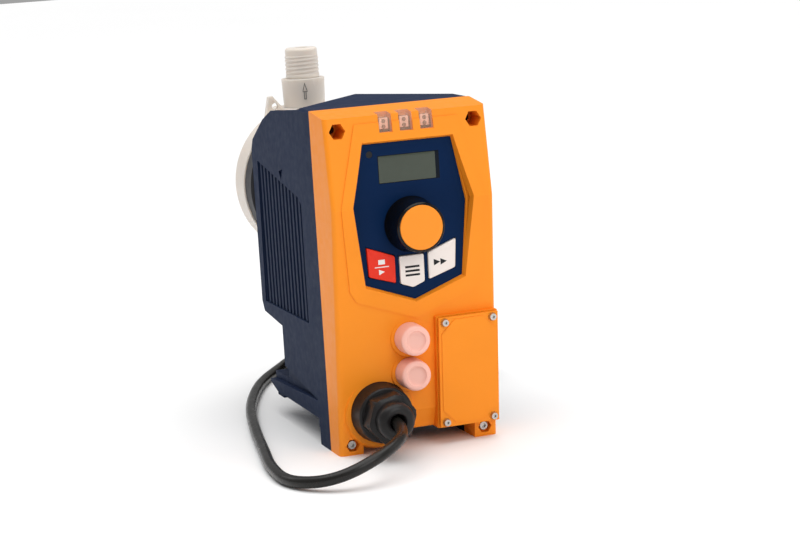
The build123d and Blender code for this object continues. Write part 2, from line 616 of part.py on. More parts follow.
def key_switches():
    """Three dome switches on the board, one behind each key."""
    switches = []
    for outline in KEYS.values():
        x = sum(p[0] for p in outline) / len(outline)
        z = sum(p[1] for p in outline) / len(outline)
        front = -PANEL_BACK_DEPTH + 2.2 + KEY_TRAVEL + 0.15
        base = block(x - 3, x + 3, front + 1.6, -BOARD_DEPTH, z - 3, z + 3)
        switches.append(base + rod_y(3.4, front, front + 1.6, x, z))
    return switches


def status_windows():
    """Three translucent windows that wrap over the upper edge."""
    outer = cover_outer()
    windows = []
    for index in (-1, 0, 1):
        body = window_cutter(index, FIT_GAP) & outer
        x = index * WINDOW_PITCH
        rear = block(x - 2.6, x + 2.6, -22.5, -16.0, WINDOW_LOW_Z + 1.5, HOUSING_HEIGHT - 4.2)
        windows.append(body - rear)
    return windows


def status_lamps():
    """Light-emitting diodes behind the windows, two to a window, on one strip."""
    strip = block(-17, 17, -14.6, -13.4, 176.0, 183.4)
    for index in (-1, 0, 1):
        for z in LAMP_Z:
            strip += rod_y(LAMP_D, -22.0, -14.6, index * WINDOW_PITCH, z)
    return strip


# --------------------------------------------------- sockets, gland and electronics
def control_socket(z):
    """Panel socket with a threaded collar, five contacts in an insulating insert."""
    face = -face_depth(z) - 1.0
    flange = rod_y(FLANGE_D, face - 1.2, face, SOCKET_X, z)
    barrel = rod_y(SOCKET_D + 3.0, face, -8.0, SOCKET_X, z)
    nose = rod_y(SOCKET_D, face - 8.0, face - 1.2, SOCKET_X, z)
    bore = rod_y(9.0, face - 8.5, face - 3.0, SOCKET_X, z)
    body = flange + barrel + nose - bore
    body += rod_y(7.0, face - 6.5, face - 2.5, SOCKET_X, z)
    for k in range(5):
        angle = math.radians(90 * k + 45)
        r = 2.4 if k < 4 else 0.0
        body -= rod_y(1.0, face - 7.0, face - 4.0, SOCKET_X + r * math.cos(angle), z + r * math.sin(angle))
    return body


def socket_cap(z):
    """Push-on protective cap of a socket, closed in front with a shallow dish."""
    face = -face_depth(z) - 1.0
    rear = face - 1.2 - FIT_GAP
    cap = rod_y(CAP_D, rear - CAP_LENGTH + 1.0, face - FIT_GAP, SOCKET_X, z)
    cap = fillet(cap.edges().group_by(Axis.Y)[0], 1.6)
    cap -= rod_y(SOCKET_D + 2 * FIT_GAP, rear - 7.6, rear + 2, SOCKET_X, z)
    cap -= rod_y(FLANGE_D + 2 * FIT_GAP, rear, rear + 2, SOCKET_X, z)
    cap -= cone_y(12.0, 8.4, rear - CAP_LENGTH, rear - CAP_LENGTH + 2.0, SOCKET_X, z)
    return cap


GLAND_SEAT = 18.0 + 1.95


def gland_body():
    """Gland body: wide collar on the cover, inner thread and outer hexagon."""
    collar = cone_y(GLAND_COLLAR_D - 1.6, GLAND_COLLAR_D, -GLAND_SEAT - 7.5, -GLAND_SEAT, GLAND_X, GLAND_Z)
    hexagon = hex_y(GLAND_HEX, -GLAND_SEAT - 13.0, -GLAND_SEAT - 7.5, GLAND_X, GLAND_Z, 30)
    thread = rod_y(20.0, -GLAND_SEAT, -6.0, GLAND_X, GLAND_Z)
    neck = rod_y(16.0, -GLAND_SEAT - 19.0, -GLAND_SEAT - 13.0, GLAND_X, GLAND_Z)
    bore = rod_y(12.4, -60, 0, GLAND_X, GLAND_Z)
    return collar + hexagon + thread + neck - bore


def gland_nut():
    """Domed clamping nut of the gland, with its hexagonal skirt."""
    rear = -GLAND_SEAT - 13.0 - FIT_GAP
    skirt = hex_y(GLAND_HEX - 1.0, rear - 8.0, rear, GLAND_X, GLAND_Z, 15)
    front = -GLAND_REACH
    dome = turned_y([(0, rear - 8.0), (11.6, rear - 8.0), (GLAND_DOME_D / 2, front + 4.0),
                     (GLAND_DOME_D / 2 - 3.4, front), (0, front)], GLAND_X, GLAND_Z)
    nut = skirt + dome
    nut -= rod_y(16.0 + 2 * FIT_GAP, rear - 6.6, rear + 1, GLAND_X, GLAND_Z)
    nut -= cone_y(CABLE_D + 4.0, CABLE_D + 1.4, front - 0.01, front + 6.0, GLAND_X, GLAND_Z)
    nut -= rod_y(CABLE_D + 1.4, front, rear, GLAND_X, GLAND_Z)
    return nut


def gland_seal():
    """Rubber sleeve that the nut presses on the cable."""
    rear = -GLAND_SEAT - 4.0
    return rod_y(12.2, rear - 13.0, rear, GLAND_X, GLAND_Z) - rod_y(CABLE_D + 0.1, -60, 0, GLAND_X, GLAND_Z)


def power_board():
    """Power supply board across the neck, with its transformer and capacitors."""
    y = 30.0
    board = block(-36, 36, y, y + 1.6, 32, 88)
    board += block(-30, -6, y + 1.6, y + 21, 36, 62)
    for x in (6, 18, 30):
        board += rod_y(9.6, y + 1.6, y + 22, x, 46)
    board += block(4, 32, y + 1.6, y + 9, 66, 76)
    return board


def terminal_block():
    """Relay terminal block inside the terminal compartment."""
    x0, x1 = BOX_LEFT + 7.0, BOX_RIGHT - 9.0
    body = block(x0, x1, -18.5, -8.0, 30, 41)
    pitch = (x1 - x0) / 5
    for k in range(5):
        body -= rod_y(3.4, -19, -14, x0 + pitch * (k + 0.5), 37.5)
        body -= block(x0 + pitch * (k + 0.5) - 1.6, x0 + pitch * (k + 0.5) + 1.6, -16, -11, 29, 33)
    return body


# ------------------------------------------------------------------- solenoid drive
SOLENOID_REAR = HOUSING_DEPTH - WALL
POT_REAR = SOLENOID_REAR - NOSE_LENGTH
SOLENOID_FRONT = POT_REAR - SOLENOID_LENGTH
COIL_BORE = ARMATURE_D + 2 * SLIDE_GAP + 3.0


def yoke_bolt(angle):
    """Place of one solenoid bolt on its circle."""
    radius = NOSE_D / 2 - 5.5
    return radius * math.cos(math.radians(angle)), HEAD_Z + radius * math.sin(math.radians(angle))


def solenoid_yoke():
    """Steel pot of the solenoid: mantle, front plate and pole face."""
    mantle = rod_y(SOLENOID_D, SOLENOID_FRONT, POT_REAR, 0, HEAD_Z)
    mantle += rod_y(NOSE_D, POT_REAR, SOLENOID_REAR, 0, HEAD_Z)
    mantle -= rod_y(SOLENOID_D - 12, SOLENOID_FRONT + 6, POT_REAR - 6, 0, HEAD_Z)
    mantle -= rod_y(COIL_BORE, SOLENOID_FRONT + 6, SOLENOID_REAR - 8, 0, HEAD_Z)
    mantle -= rod_y(ARMATURE_D + 2 * 1.5 + 2 * SLIDE_GAP, SOLENOID_FRONT - 1, SOLENOID_FRONT + 7, 0, HEAD_Z)
    mantle -= rod_y(ROD_D + 2 * 2.0 + 2 * SLIDE_GAP, SOLENOID_REAR - 9, SOLENOID_REAR + 1, 0, HEAD_Z)
    for angle in range(45, 360, 90):
        x, z = yoke_bolt(angle)
        mantle -= rod_y(3.4, SOLENOID_REAR - 7.6, SOLENOID_REAR + 1, x, z)
    return mantle


def solenoid_coil():
    """Copper winding on its bobbin, as one ring."""
    winding = rod_y(SOLENOID_D - 12.4, SOLENOID_FRONT + 6.3, POT_REAR - 6.3, 0, HEAD_Z)
    return winding - rod_y(COIL_BORE, SOLENOID_FRONT, SOLENOID_REAR, 0, HEAD_Z)


def guide_bushes():
    """Front bush round the armature and rear bush round the push rod."""
    front = rod_y(ARMATURE_D + 3.0 + 2 * SLIDE_GAP, SOLENOID_FRONT - 1.0, SOLENOID_FRONT + 6.0, 0, HEAD_Z)
    front -= rod_y(ARMATURE_D + 2 * SLIDE_GAP, SOLENOID_FRONT - 2, SOLENOID_FRONT + 7, 0, HEAD_Z)
    rear = rod_y(ROD_D + 4.0 + 2 * SLIDE_GAP, SOLENOID_REAR - 8.0, SOLENOID_REAR, 0, HEAD_Z)
    rear -= rod_y(ROD_D + 2 * SLIDE_GAP, SOLENOID_REAR - 9, SOLENOID_REAR + 1, 0, HEAD_Z)
    return [front, rear]


ARMATURE_REAR = SOLENOID_REAR - 20.0


def armature():
    """Steel plunger, pulled to the rear when the coil is fed."""
    body = rod_y(ARMATURE_D, SOLENOID_FRONT - 8.0, ARMATURE_REAR, 0, HEAD_Z)
    body = chamfer(body.edges(), 1.0)
    return body - rod_y(ROD_D, ARMATURE_REAR - 22.0, ARMATURE_REAR + 1, 0, HEAD_Z)


def push_rod():
    """Rod from the armature to the middle of the diaphragm."""
    rod = rod_y(ROD_D, ARMATURE_REAR - 22.0, HEAD_FRONT - 5.5, 0, HEAD_Z)
    return rod


def return_spring():
    """Coil spring between the rear pole and the armature."""
    start, end = ARMATURE_REAR + 0.6, SOLENOID_REAR - 8.4
    wire, mean, turns = 1.4, ROD_D + 7.0, 4
    height = end - start - wire
    path = Helix(pitch=height / turns, height=height, radius=mean / 2)
    section = Plane(origin=path @ 0, z_dir=path % 0) * Circle(wire / 2)
    spring = sweep(section, path=path, is_frenet=True)
    return Pos(0, start + wire / 2, HEAD_Z) * Rot(-90, 0, 0) * spring


# ---------------------------------------------------------------------- liquid end
def head_adapter():
    """Dark ring between housing and head, with the leak chamber round the rod."""
    spigot = rod_y(ADAPTER_D - 11, HOUSING_DEPTH, HOUSING_DEPTH + 4, 0, HEAD_Z)
    ring = rod_y(ADAPTER_D, HOUSING_DEPTH + 4, HEAD_FRONT, 0, HEAD_Z)
    body = spigot + ring
    body -= rod_y(ROD_D + 16, HOUSING_DEPTH - 1, HEAD_FRONT + 1, 0, HEAD_Z)
    body -= rod_y(DIAPHRAGM_D + 2 * FIT_GAP, HEAD_FRONT - 3.2, HEAD_FRONT + 1, 0, HEAD_Z)
    body -= cone_y(ROD_D + 16, DIAPHRAGM_D - 12, HEAD_FRONT - 8.2, HEAD_FRONT - 3.2, 0, HEAD_Z)
    for angle in head_screw_angles():
        x, z = head_screw_place(angle)
        body -= rod_y(4.2, HOUSING_DEPTH + 4.5, HEAD_FRONT + 1, x, z)
    for angle in range(45, 360, 90):
        x, z = yoke_bolt(angle)
        body -= rod_y(4.4, HOUSING_DEPTH - 1, HOUSING_DEPTH + 20, x, z)
        body -= rod_y(7.6, HOUSING_DEPTH + 7, HOUSING_DEPTH + 20, x, z)
    body -= block(-2.5, 2.5, HOUSING_DEPTH + 6, HOUSING_DEPTH + 10, HEAD_Z - 60, HEAD_Z)
    return body


def adapter_screws():
    """Four screws through adapter and rear wall into the solenoid."""
    screws = []
    for angle in range(45, 360, 90):
        x, z = yoke_bolt(angle)
        head = rod_y(7.0, HOUSING_DEPTH + 7.1, HOUSING_DEPTH + 11.0, x, z)
        shank = rod_y(3.3, SOLENOID_REAR - 7.2, HOUSING_DEPTH + 7.1, x, z)
        screws.append(head + shank - hex_y(3.0, HOUSING_DEPTH + 9.0, HOUSING_DEPTH + 11.1, x, z))
    return screws


def head_screw_angles():
    """Angles of the head screws, which leave the valves free."""
    return [60 * k for k in range(HEAD_SCREWS)]


def head_screw_place(angle):
    """Place of one head screw on its circle."""
    r = HEAD_SCREW_PCD / 2
    return r * math.cos(math.radians(angle)), HEAD_Z + r * math.sin(math.radians(angle))


def diaphragm():
    """Rubber diaphragm: clamped rim and thinner web."""
    r, y = DIAPHRAGM_D / 2, HEAD_FRONT
    outline = [(0, y - 2.2), (17.0, y - 2.2), (21.0, y - 1.9), (24.0, y - 2.8), (r, y - 2.8), (r, y - 0.1),
               (24.0, y - 0.1), (21.0, y - 0.9), (17.0, y - 1.2), (0, y - 1.2)]
    return turned_y([(rr, yy) for rr, yy in outline], 0, HEAD_Z)


def diaphragm_core():
    """Stiff plate behind the diaphragm, on the end of the push rod."""
    plate = rod_y(26.0, HEAD_FRONT - 5.5, HEAD_FRONT - 2.6, 0, HEAD_Z)
    return chamfer(plate.edges(), 0.5)


def dosing_head():
    """White head: disc, upright valve boss, pump chamber and bores."""
    disc = rod_y(HEAD_D, HEAD_FRONT, HEAD_REAR, 0, HEAD_Z)
    disc = chamfer(disc.edges().group_by(Axis.Y)[-1], 1.2)
    boss = block(-BOSS_WIDTH / 2, BOSS_WIDTH / 2, HEAD_REAR - 2, BACK_REACH,
                 HEAD_Z - VALVE_STANDS_AT, HEAD_Z + VALVE_STANDS_AT)
    boss = chamfer(boss.edges().filter_by(Axis.Z).group_by(Axis.Y)[-1], 4.0)
    hub = cone_y(62, 54, HEAD_REAR - 1, BACK_REACH - 3, 0, HEAD_Z)
    body = disc + boss + hub
    for side in (-1, 1):
        low, high = sorted((HEAD_Z + side * 30, HEAD_Z + side * VALVE_STANDS_AT))
        body += rod_z(VALVE_BODY_D + 1.6, low, high, 0, VALVE_Y)
        low, high = sorted((HEAD_Z + side * VALVE_STANDS_AT, HEAD_Z + side * HEAD_D))
        body -= block(-14.5, 14.5, HEAD_FRONT - 1, BACK_REACH + 1, low, high)
    # ear with an eye beside the discharge valve
    ear = [(-28.0, HEAD_Z + 34), (-24.2, HEAD_Z + 52.5), (-21.6, HEAD_Z + 53.0)]
    ear += [(-15.5, HEAD_Z + 45.5), (-15.5, HEAD_Z + 38)]
    eye = rod_y(4.0, VALVE_Y - 10, VALVE_Y + 5, -20.4, HEAD_Z + 46.6)
    body += slab_y(ear, VALVE_Y - 5.0, VALVE_Y - 1.5) - eye
    # chamber and passages
    body -= cone_y(46.0, 40.0, HEAD_FRONT - 1, HEAD_FRONT + 3.0, 0, HEAD_Z)
    for side in (-1, 1):
        z_in, z_out = HEAD_Z + side * 10.0, HEAD_Z + side * (VALVE_STANDS_AT + 1)
        low, high = sorted((z_in, z_out))
        body -= rod_z(6.0, low, high, 0, VALVE_Y)
        low, high = sorted((HEAD_Z + side * 29.0, z_out))
        body -= rod_z(VALVE_THREAD_D - 4.0 + 2 * FIT_GAP, low, high, 0, VALVE_Y)
        body -= rod_y(5.0, HEAD_FRONT, VALVE_Y - 1.2, 0, HEAD_Z + side * 14.5)
        low, high = sorted((HEAD_Z + side * (VALVE_STANDS_AT - RING_DEPTH), z_out))
        body -= rod_z(VALVE_THREAD_D - 1.0 + 2 * FIT_GAP, low, high, 0, VALVE_Y)
    for angle in head_screw_angles():
        x, z = head_screw_place(angle)
        body -= rod_y(4.6, HEAD_FRONT - 1, HEAD_REAR + 1, x, z)
        body -= rod_y(8.6, HEAD_REAR - 5.0, HEAD_REAR + 20, x, z)
    return body


def head_screws():
    """Socket-head screws that clamp the head on its adapter."""
    screws = []
    for angle in head_screw_angles():
        x, z = head_screw_place(angle)
        head = rod_y(7.4, HEAD_REAR - 4.9, HEAD_REAR - 0.4, x, z)
        head -= hex_y(3.4, HEAD_REAR - 3.0, HEAD_REAR, x, z)
        shank = rod_y(4.0, HEAD_FRONT - 9.0, HEAD_REAR - 4.9, x, z)
        screws.append(head + shank)
    return screws


def valve_parts(side):
    """Body, threaded connector, ball, seat and rings of one valve; side +1 discharges."""
    shank_l = 12.0
    z_shoulder = HEAD_Z + side * VALVE_STANDS_AT

    def along(points):
        """Turned solid from (radius, height above the shoulder) points."""
        return turned_z([(r, z_shoulder + side * h) for r, h in points], 0, VALVE_Y)

    r_body, r_thread = VALVE_BODY_D / 2, VALVE_THREAD_D / 2
    r_shank = VALVE_THREAD_D / 2 - 2.0
    body = along([(0, -shank_l), (r_shank, -shank_l), (r_shank, 0), (r_body - 0.6, 0),
                  (r_body, VALVE_BODY_LENGTH), (0, VALVE_BODY_LENGTH)])
    # the faceted sides: ten flats
    flats = [(r_body * 0.985 * math.cos(math.radians(36 * k + 18)) / math.cos(math.radians(18)),
              VALVE_Y + r_body * 0.985 * math.sin(math.radians(36 * k + 18)) / math.cos(math.radians(18)))
             for k in range(10)]
    low, high = sorted((z_shoulder - side * 20, z_shoulder + side * 60))
    body &= slab_z(flats, low, high)
    flow_in, flow_out = sorted((z_shoulder - side * 13, z_shoulder + side * (VALVE_BODY_LENGTH + 1)))
    body -= rod_z(6.0, flow_in, flow_out, 0, VALVE_Y)
    # ball chamber, open towards the connector
    low, high = sorted((z_shoulder + side * CHAMBER_LOW, z_shoulder + side * (VALVE_BODY_LENGTH + 1)))
    body -= rod_z(CHAMBER_D, low, high, 0, VALVE_Y)

    t0, t1 = VALVE_BODY_LENGTH, VALVE_BODY_LENGTH + VALVE_THREAD_LENGTH
    connector = along([(0, t0), (r_thread - 0.6, t0), (r_thread - 0.6, t0 + THREAD_RUNOUT),
                       (r_thread, t0 + THREAD_RUNOUT), (r_thread, t1 - 1.5), (r_thread - 1.3, t1), (0, t1)])
    inner = CHAMBER_D / 2 - FIT_GAP
    spigot = along([(0, t0 - 4.0), (inner, t0 - 4.0), (inner, t0), (0, t0)])
    connector += spigot
    low, high = sorted((z_shoulder + side * (t0 - 5.0), z_shoulder + side * (t1 + 1)))
    connector -= rod_z(9.0, low, high, 0, VALVE_Y)
    return body, connector




SEAT_D = 6.0
RING_DEPTH = 1.2


def valve_seat(side):
    """Ring that the ball rests on; in both valves the flow is upwards."""
    z_low, z_high = chamber_span(side)
    seat_top = z_low + 3.0
    outer = CHAMBER_D / 2 - FIT_GAP
    ring = turned_z([(SEAT_D / 2, z_low), (outer, z_low), (outer, seat_top),
                     (SEAT_D / 2 + 1.2, seat_top), (SEAT_D / 2, seat_top - 1.2)], 0, VALVE_Y)
    return ring


def chamber_span(side):
    """Lowest and highest point of the ball chamber of one valve."""
    z_shoulder = HEAD_Z + side * VALVE_STANDS_AT
    ends = (z_shoulder + side * CHAMBER_LOW, z_shoulder + side * (VALVE_BODY_LENGTH - 4.0))
    return min(ends), max(ends)


def ball_centre(side):
    """Height of the ball's middle when it rests on its seat."""
    z_low, _ = chamber_span(side)
    contact = SEAT_D / 2 + 0.5
    return z_low + 3.0 - 0.7 + math.sqrt((BALL_D / 2) ** 2 - contact ** 2) + 0.02


def valve_ball(side):
    """Ceramic ball of one valve."""
    return Pos(0, VALVE_Y, ball_centre(side)) * Sphere(BALL_D / 2)


def valve_rings():
    """Sealing rings under the shoulders of both valves."""
    rings = []
    for side in (-1, 1):
        z = HEAD_Z + side * (VALVE_STANDS_AT - RING_DEPTH)
        low, high = sorted((z, z + side * (RING_DEPTH - 0.1)))
        rings.append(rod_z(VALVE_THREAD_D - 1.0, low, high, 0, VALVE_Y) - rod_z(
            VALVE_THREAD_D - 4.0 + 0.3, low - 1, high + 1, 0, VALVE_Y))
    return rings


# ----------------------------------------------------------------------- mains lead
# Points are in the frame of the finished part: the lead leaves the gland forwards,
# sinks to the ground, swings round the left side and ends in a coil behind the pump.
LEAD = [(-23.3, -98.9, 23.2), (-23.3, -127.1, 22.8), (-43.2, -147.0, 17.0), (-71.4, -147.0, 6.5),
        (-91.3, -127.1, 3.3), (-90.3, -90.0, 3.3), (-83.0, -54.0, 3.3), (-76.5, -19.0, 3.3),
        (-69.0, 16.0, 3.3),
        (-60.0, 52.0, 3.3), (-47.5, 87.0, 3.3), (-33.0, 119.0, 3.3), (-14.0, 147.0, 3.3), (7.6, 177.2, 3.3)]
COIL_X, COIL_Y = 45.0, 148.0
COIL_OUTER_D = 101.6
COIL_INNER_D = 54.4
COIL_HEIGHT = 13.1
PLUG_X, PLUG_Y, PLUG_Z = 86.0, 112.0, 18.5
TAIL = [(92.4, 154.0, 9.8), (92.2, 141.5, 10.5), (87.0, 126.0, 16.6), (PLUG_X, PLUG_Y, PLUG_Z)]


def cord_tube(points, name):
    """Round tube along straight runs joined by the largest arcs that fit."""
    radii = []
    for a, b, c in zip(points, points[1:], points[2:]):
        p, q, r = Vector(*a), Vector(*b), Vector(*c)
        turn = (q - p).get_angle(r - q)
        shorter = min((q - p).length, (r - q).length)
        radii.append(0.45 * shorter / math.tan(math.radians(turn) / 2))
    path = FilletPolyline(*[Vector(*p) for p in points], radius=radii)
    section = Plane(origin=path @ 0, z_dir=path % 0) * Circle(CABLE_D / 2)
    tube = sweep(section, path=path)
    expected = math.pi * (CABLE_D / 2) ** 2 * path.length
    print(name, "radii", [round(r, 1) for r in radii], "length", round(path.length, 1),
          "volume ratio", round(tube.volume / expected, 4))
    return tube


def save_in_frame(name, *shapes):
    """Write a node whose solids are already in the finished part's frame."""
    save(name, *[Pos(0, -PARTING_Y, 0) * shape for shape in shapes])


def cable_coil():
    """Outer form of the wound length of the lead."""
    wound = rod_z(COIL_OUTER_D, 0, COIL_HEIGHT, COIL_X, COIL_Y)
    return wound - rod_z(COIL_INNER_D, -1, COIL_HEIGHT + 1, COIL_X, COIL_Y)


def mains_plug():
    """Round two-pin plug with earth clips, lying on the ground."""
    y = PLUG_Y
    points = [(0, y), (4.6, y), (6.4, y - 12), (9.0, y - 16), (15.5, y - 22), (18.3, y - 30), (18.3, y - 36),
              (17.0, y - 36), (17.0, y - 40), (0, y - 40)]
    body = turned_y(points, PLUG_X, PLUG_Z)
    for side in (-1, 1):
        z = PLUG_Z + side * 17.4
        clip = block(PLUG_X - 3, PLUG_X + 3, y - 41, y - 34, z - 1.6, z + 1.6)
        body -= clip
    return body


def plug_pins():
    """Two round pins of the plug."""
    pins = []
    for side in (-1, 1):
        pin = rod_y(4.8, PLUG_Y - 59, PLUG_Y - 40, PLUG_X + side * 9.5, PLUG_Z)
        pins.append(chamfer(pin.edges().group_by(Axis.Y)[0], 0.9))
    return pins


# ---------------------------------------------------------------------------- build
save("rear_housing", rear_housing())
save("front_cover", front_cover())
save("cover_gasket", gasket_frame(0.05))
save("cover_screws", *cover_screws())
save("terminal_seal", terminal_seal())
save("terminal_cover", terminal_cover())
save("terminal_cover_screws", *terminal_cover_screws())
save("terminal_block", terminal_block())
save("fascia_panel", fascia_panel())
save("display_window", display_window())
save("lcd_module", lcd_module())
save("light_sensor", rod_y(3.6, -PANEL_FRONT_DEPTH + 0.1, -PANEL_BACK_DEPTH, -21.4, 165.8))
save("status_windows", *status_windows())
save("status_lamps", status_lamps())
save("control_board", control_board())
save("encoder_body", encoder_body())
save("click_plunger", click_plunger())
save("knob_shaft", knob_shaft())
save("control_knob", control_knob())
save("knob_disc", knob_disc())
for key_name, key_outline in KEYS.items():
    save(key_name, key_cap(key_outline))
save("key_switches", *key_switches())
for socket_name, socket_z in zip(("upper", "lower"), SOCKET_Z):
    save(f"{socket_name}_socket", control_socket(socket_z))
    save(f"{socket_name}_socket_cap", socket_cap(socket_z))
save("gland_body", gland_body())
save("gland_nut", gland_nut())
save("gland_seal", gland_seal())
save("power_board", power_board())
save("solenoid_yoke", solenoid_yoke())
save("solenoid_coil", solenoid_coil())
save("guide_bushes", *guide_bushes())
save("armature", armature())
save("push_rod", push_rod())
save("return_spring", return_spring())
save("head_adapter", head_adapter())
save("adapter_screws", *adapter_screws())
save("diaphragm", diaphragm())
save("diaphragm_core", diaphragm_core())
save("dosing_head", dosing_head())
save("head_screws", *head_screws())
for valve_name, valve_side in (("discharge", 1), ("suction", -1)):
    valve_body, valve_connector = valve_parts(valve_side)
    save(f"{valve_name}_valve_body", valve_body)
    save(f"{valve_name}_connector", valve_connector)
    save(f"{valve_name}_seat", valve_seat(valve_side))
    save(f"{valve_name}_ball", valve_ball(valve_side))
save("valve_rings", *valve_rings())
save_in_frame("mains_cable", cord_tube(LEAD, "lead"), cord_tube(TAIL, "tail"))
save_in_frame("cable_coil", cable_coil())
save_in_frame("mains_plug", mains_plug())
save_in_frame("plug_pins", *plug_pins())
print("parting plane at y", PARTING_Y)
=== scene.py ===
"""Looks of the dosing pump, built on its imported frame.

Each operator makes one group of pieces. Lengths in the code are metres unless a
name ends in _MM, +Z is up and the control front faces -Y.
"""

import bmesh
import bpy
import numpy as np
from bpy.props import FloatProperty, FloatVectorProperty, IntProperty, PointerProperty
from mathutils import Matrix, Vector


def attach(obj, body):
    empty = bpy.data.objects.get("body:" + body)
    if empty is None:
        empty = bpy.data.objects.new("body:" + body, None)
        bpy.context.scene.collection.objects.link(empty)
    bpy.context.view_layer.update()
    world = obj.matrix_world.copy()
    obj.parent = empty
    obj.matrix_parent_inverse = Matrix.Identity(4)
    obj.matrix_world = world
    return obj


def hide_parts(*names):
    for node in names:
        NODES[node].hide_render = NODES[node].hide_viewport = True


bl_info = {
    "name": "Dosing Pump",
    "version": (1, 0, 0),
    "blender": (4, 5, 0),
    "location": "View3D > Sidebar > Pump",
    "description": "Builds the visible pieces and finishes of a solenoid dosing pump",
    "category": "Add Mesh",
}

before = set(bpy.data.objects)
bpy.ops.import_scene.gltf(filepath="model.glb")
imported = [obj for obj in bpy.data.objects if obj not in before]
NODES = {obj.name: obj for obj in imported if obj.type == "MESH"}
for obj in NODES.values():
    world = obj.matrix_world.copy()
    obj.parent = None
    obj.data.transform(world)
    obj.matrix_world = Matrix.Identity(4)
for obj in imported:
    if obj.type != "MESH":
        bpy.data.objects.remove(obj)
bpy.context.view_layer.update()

MM = 0.001
PARTING_Y = -0.062           # plane between the orange cover and the navy housing
FASCIA_Y = PARTING_Y - 0.023
HEAD_Z = 0.1328
VALVE_Y = 0.0935
VALVE_RISE = 0.0621          # from the middle of the head to the foot of each connector
KNOB_Z = 0.1259
GLAND_X, GLAND_Z = -0.0233, 0.0232
LAMP_PITCH = 0.0118          # between the middles of two status windows
COIL_X, COIL_Y = 0.045, 0.148
LEAD_ON_FLOOR = 0.0033       # height of the lead's middle where it lies on the floor
LIGHTS_AIM = (0, 0, 0.1)
CAMERA_PLACE = (-0.41203, -1.22618, 0.31001)
CAMERA_TURN = (19.50937, 9.7099, -3.53804)   # yaw, pitch and roll in degrees
CAMERA_LENS = 101.4
STEEL = (0.5, 0.48, 0.46)

LEAD_MM = [
    (-23.3, -98.9, 23.2), (-23.3, -127.1, 22.8), (-43.2, -147.0, 17.0), (-71.4, -147.0, 6.5),
    (-91.3, -127.1, 3.3), (-90.3, -90.0, 3.3), (-83.0, -54.0, 3.3), (-76.5, -19.0, 3.3),
    (-69.0, 16.0, 3.3), (-60.0, 52.0, 3.3), (-47.5, 87.0, 3.3), (-33.0, 119.0, 3.3), (-14.0, 147.0, 3.3),
]
TAIL_MM = [(92.4, 154.0, 9.8), (92.2, 141.5, 10.5), (87.0, 126.0, 16.6), (86.0, 112.0, 18.5)]

STOP_KEY_MM = [(-26.6, 115.4), (-26.0, 99.2), (-10.8, 94.4), (-10.6, 109.4)]
MENU_KEY_MM = [(-8.0, 108.9), (-8.0, 93.6), (-0.9, 91.0), (6.0, 93.6), (6.2, 108.9)]
PRIME_KEY_MM = [(8.7, 109.2), (8.6, 94.4), (24.2, 99.4), (25.4, 115.4)]


# ------------------------------------------------------------------ surfaces
def new_piece(name, vertices, faces, body, slot, material, sharp=32.0):
    """Mesh object from whole vertex and face arrays, closed, facing outwards and riding on a body."""
    mesh = bpy.data.meshes.new(name)
    mesh.from_pydata(np.asarray(vertices, dtype=float).tolist(), [], [list(f) for f in faces])
    work = bmesh.new()
    work.from_mesh(mesh)
    bmesh.ops.remove_doubles(work, verts=work.verts, dist=1e-7)
    bmesh.ops.dissolve_degenerate(work, edges=work.edges, dist=1e-8)
    bmesh.ops.recalc_face_normals(work, faces=work.faces)
    work.to_mesh(mesh)
    work.free()
    mesh.shade_smooth()
    mesh.set_sharp_from_angle(angle=np.radians(sharp))
    piece = bpy.data.objects.new(name, mesh)
    bpy.context.scene.collection.objects.link(piece)
    piece.data.materials.append(material)
    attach(piece, body)
    return piece


def grid_faces(rows, columns, wrap_rows=True):
    """Quads of a grid of vertices. Every row is a closed ring, and wrapped rows join the last ring to
    the first."""
    r = np.arange(rows if wrap_rows else rows - 1)
    a, b = np.meshgrid(r, np.arange(columns), indexing="ij")
    a2, b2 = (a + 1) % rows, (b + 1) % columns
    quads = np.stack([a * columns + b, a * columns + b2, a2 * columns + b2, a2 * columns + b], axis=-1)
    return quads.reshape(-1, 4)


def turned(profile, centre, steps):
    """Surface of revolution round an axis along Y: every (radius, y) of the profile goes to
    centre + (radius cos t, y, radius sin t). The profile closes on itself."""
    profile = np.asarray(profile, dtype=float)
    t = np.linspace(0, 2 * np.pi, steps, endpoint=False)
    radius, height = profile[:, 0][:, None], profile[:, 1][:, None]
    ring = (radius * np.cos(t), height + 0 * t, radius * np.sin(t))
    points = np.stack(ring, axis=-1).reshape(-1, 3) + np.asarray(centre)
    return points, grid_faces(len(profile), steps)


def rounded_outline(corners, radius, steps=6):
    """Closed outline with arcs at its corners: each corner's two cut points are the ends of a
    quadratic curve a(1-s)^2 + 2 c s(1-s) + b s^2 through the corner c."""
    c = np.asarray(corners, dtype=float)
    before, after = np.roll(c, 1, axis=0) - c, np.roll(c, -1, axis=0) - c
    before /= np.linalg.norm(before, axis=1)[:, None]
    after /= np.linalg.norm(after, axis=1)[:, None]
    a, b = c + radius * before, c + radius * after
    s = np.linspace(0, 1, steps)[None, :, None]
    curve = a[:, None] * (1 - s) ** 2 + 2 * c[:, None] * s * (1 - s) + b[:, None] * s ** 2
    return curve.reshape(-1, 2)


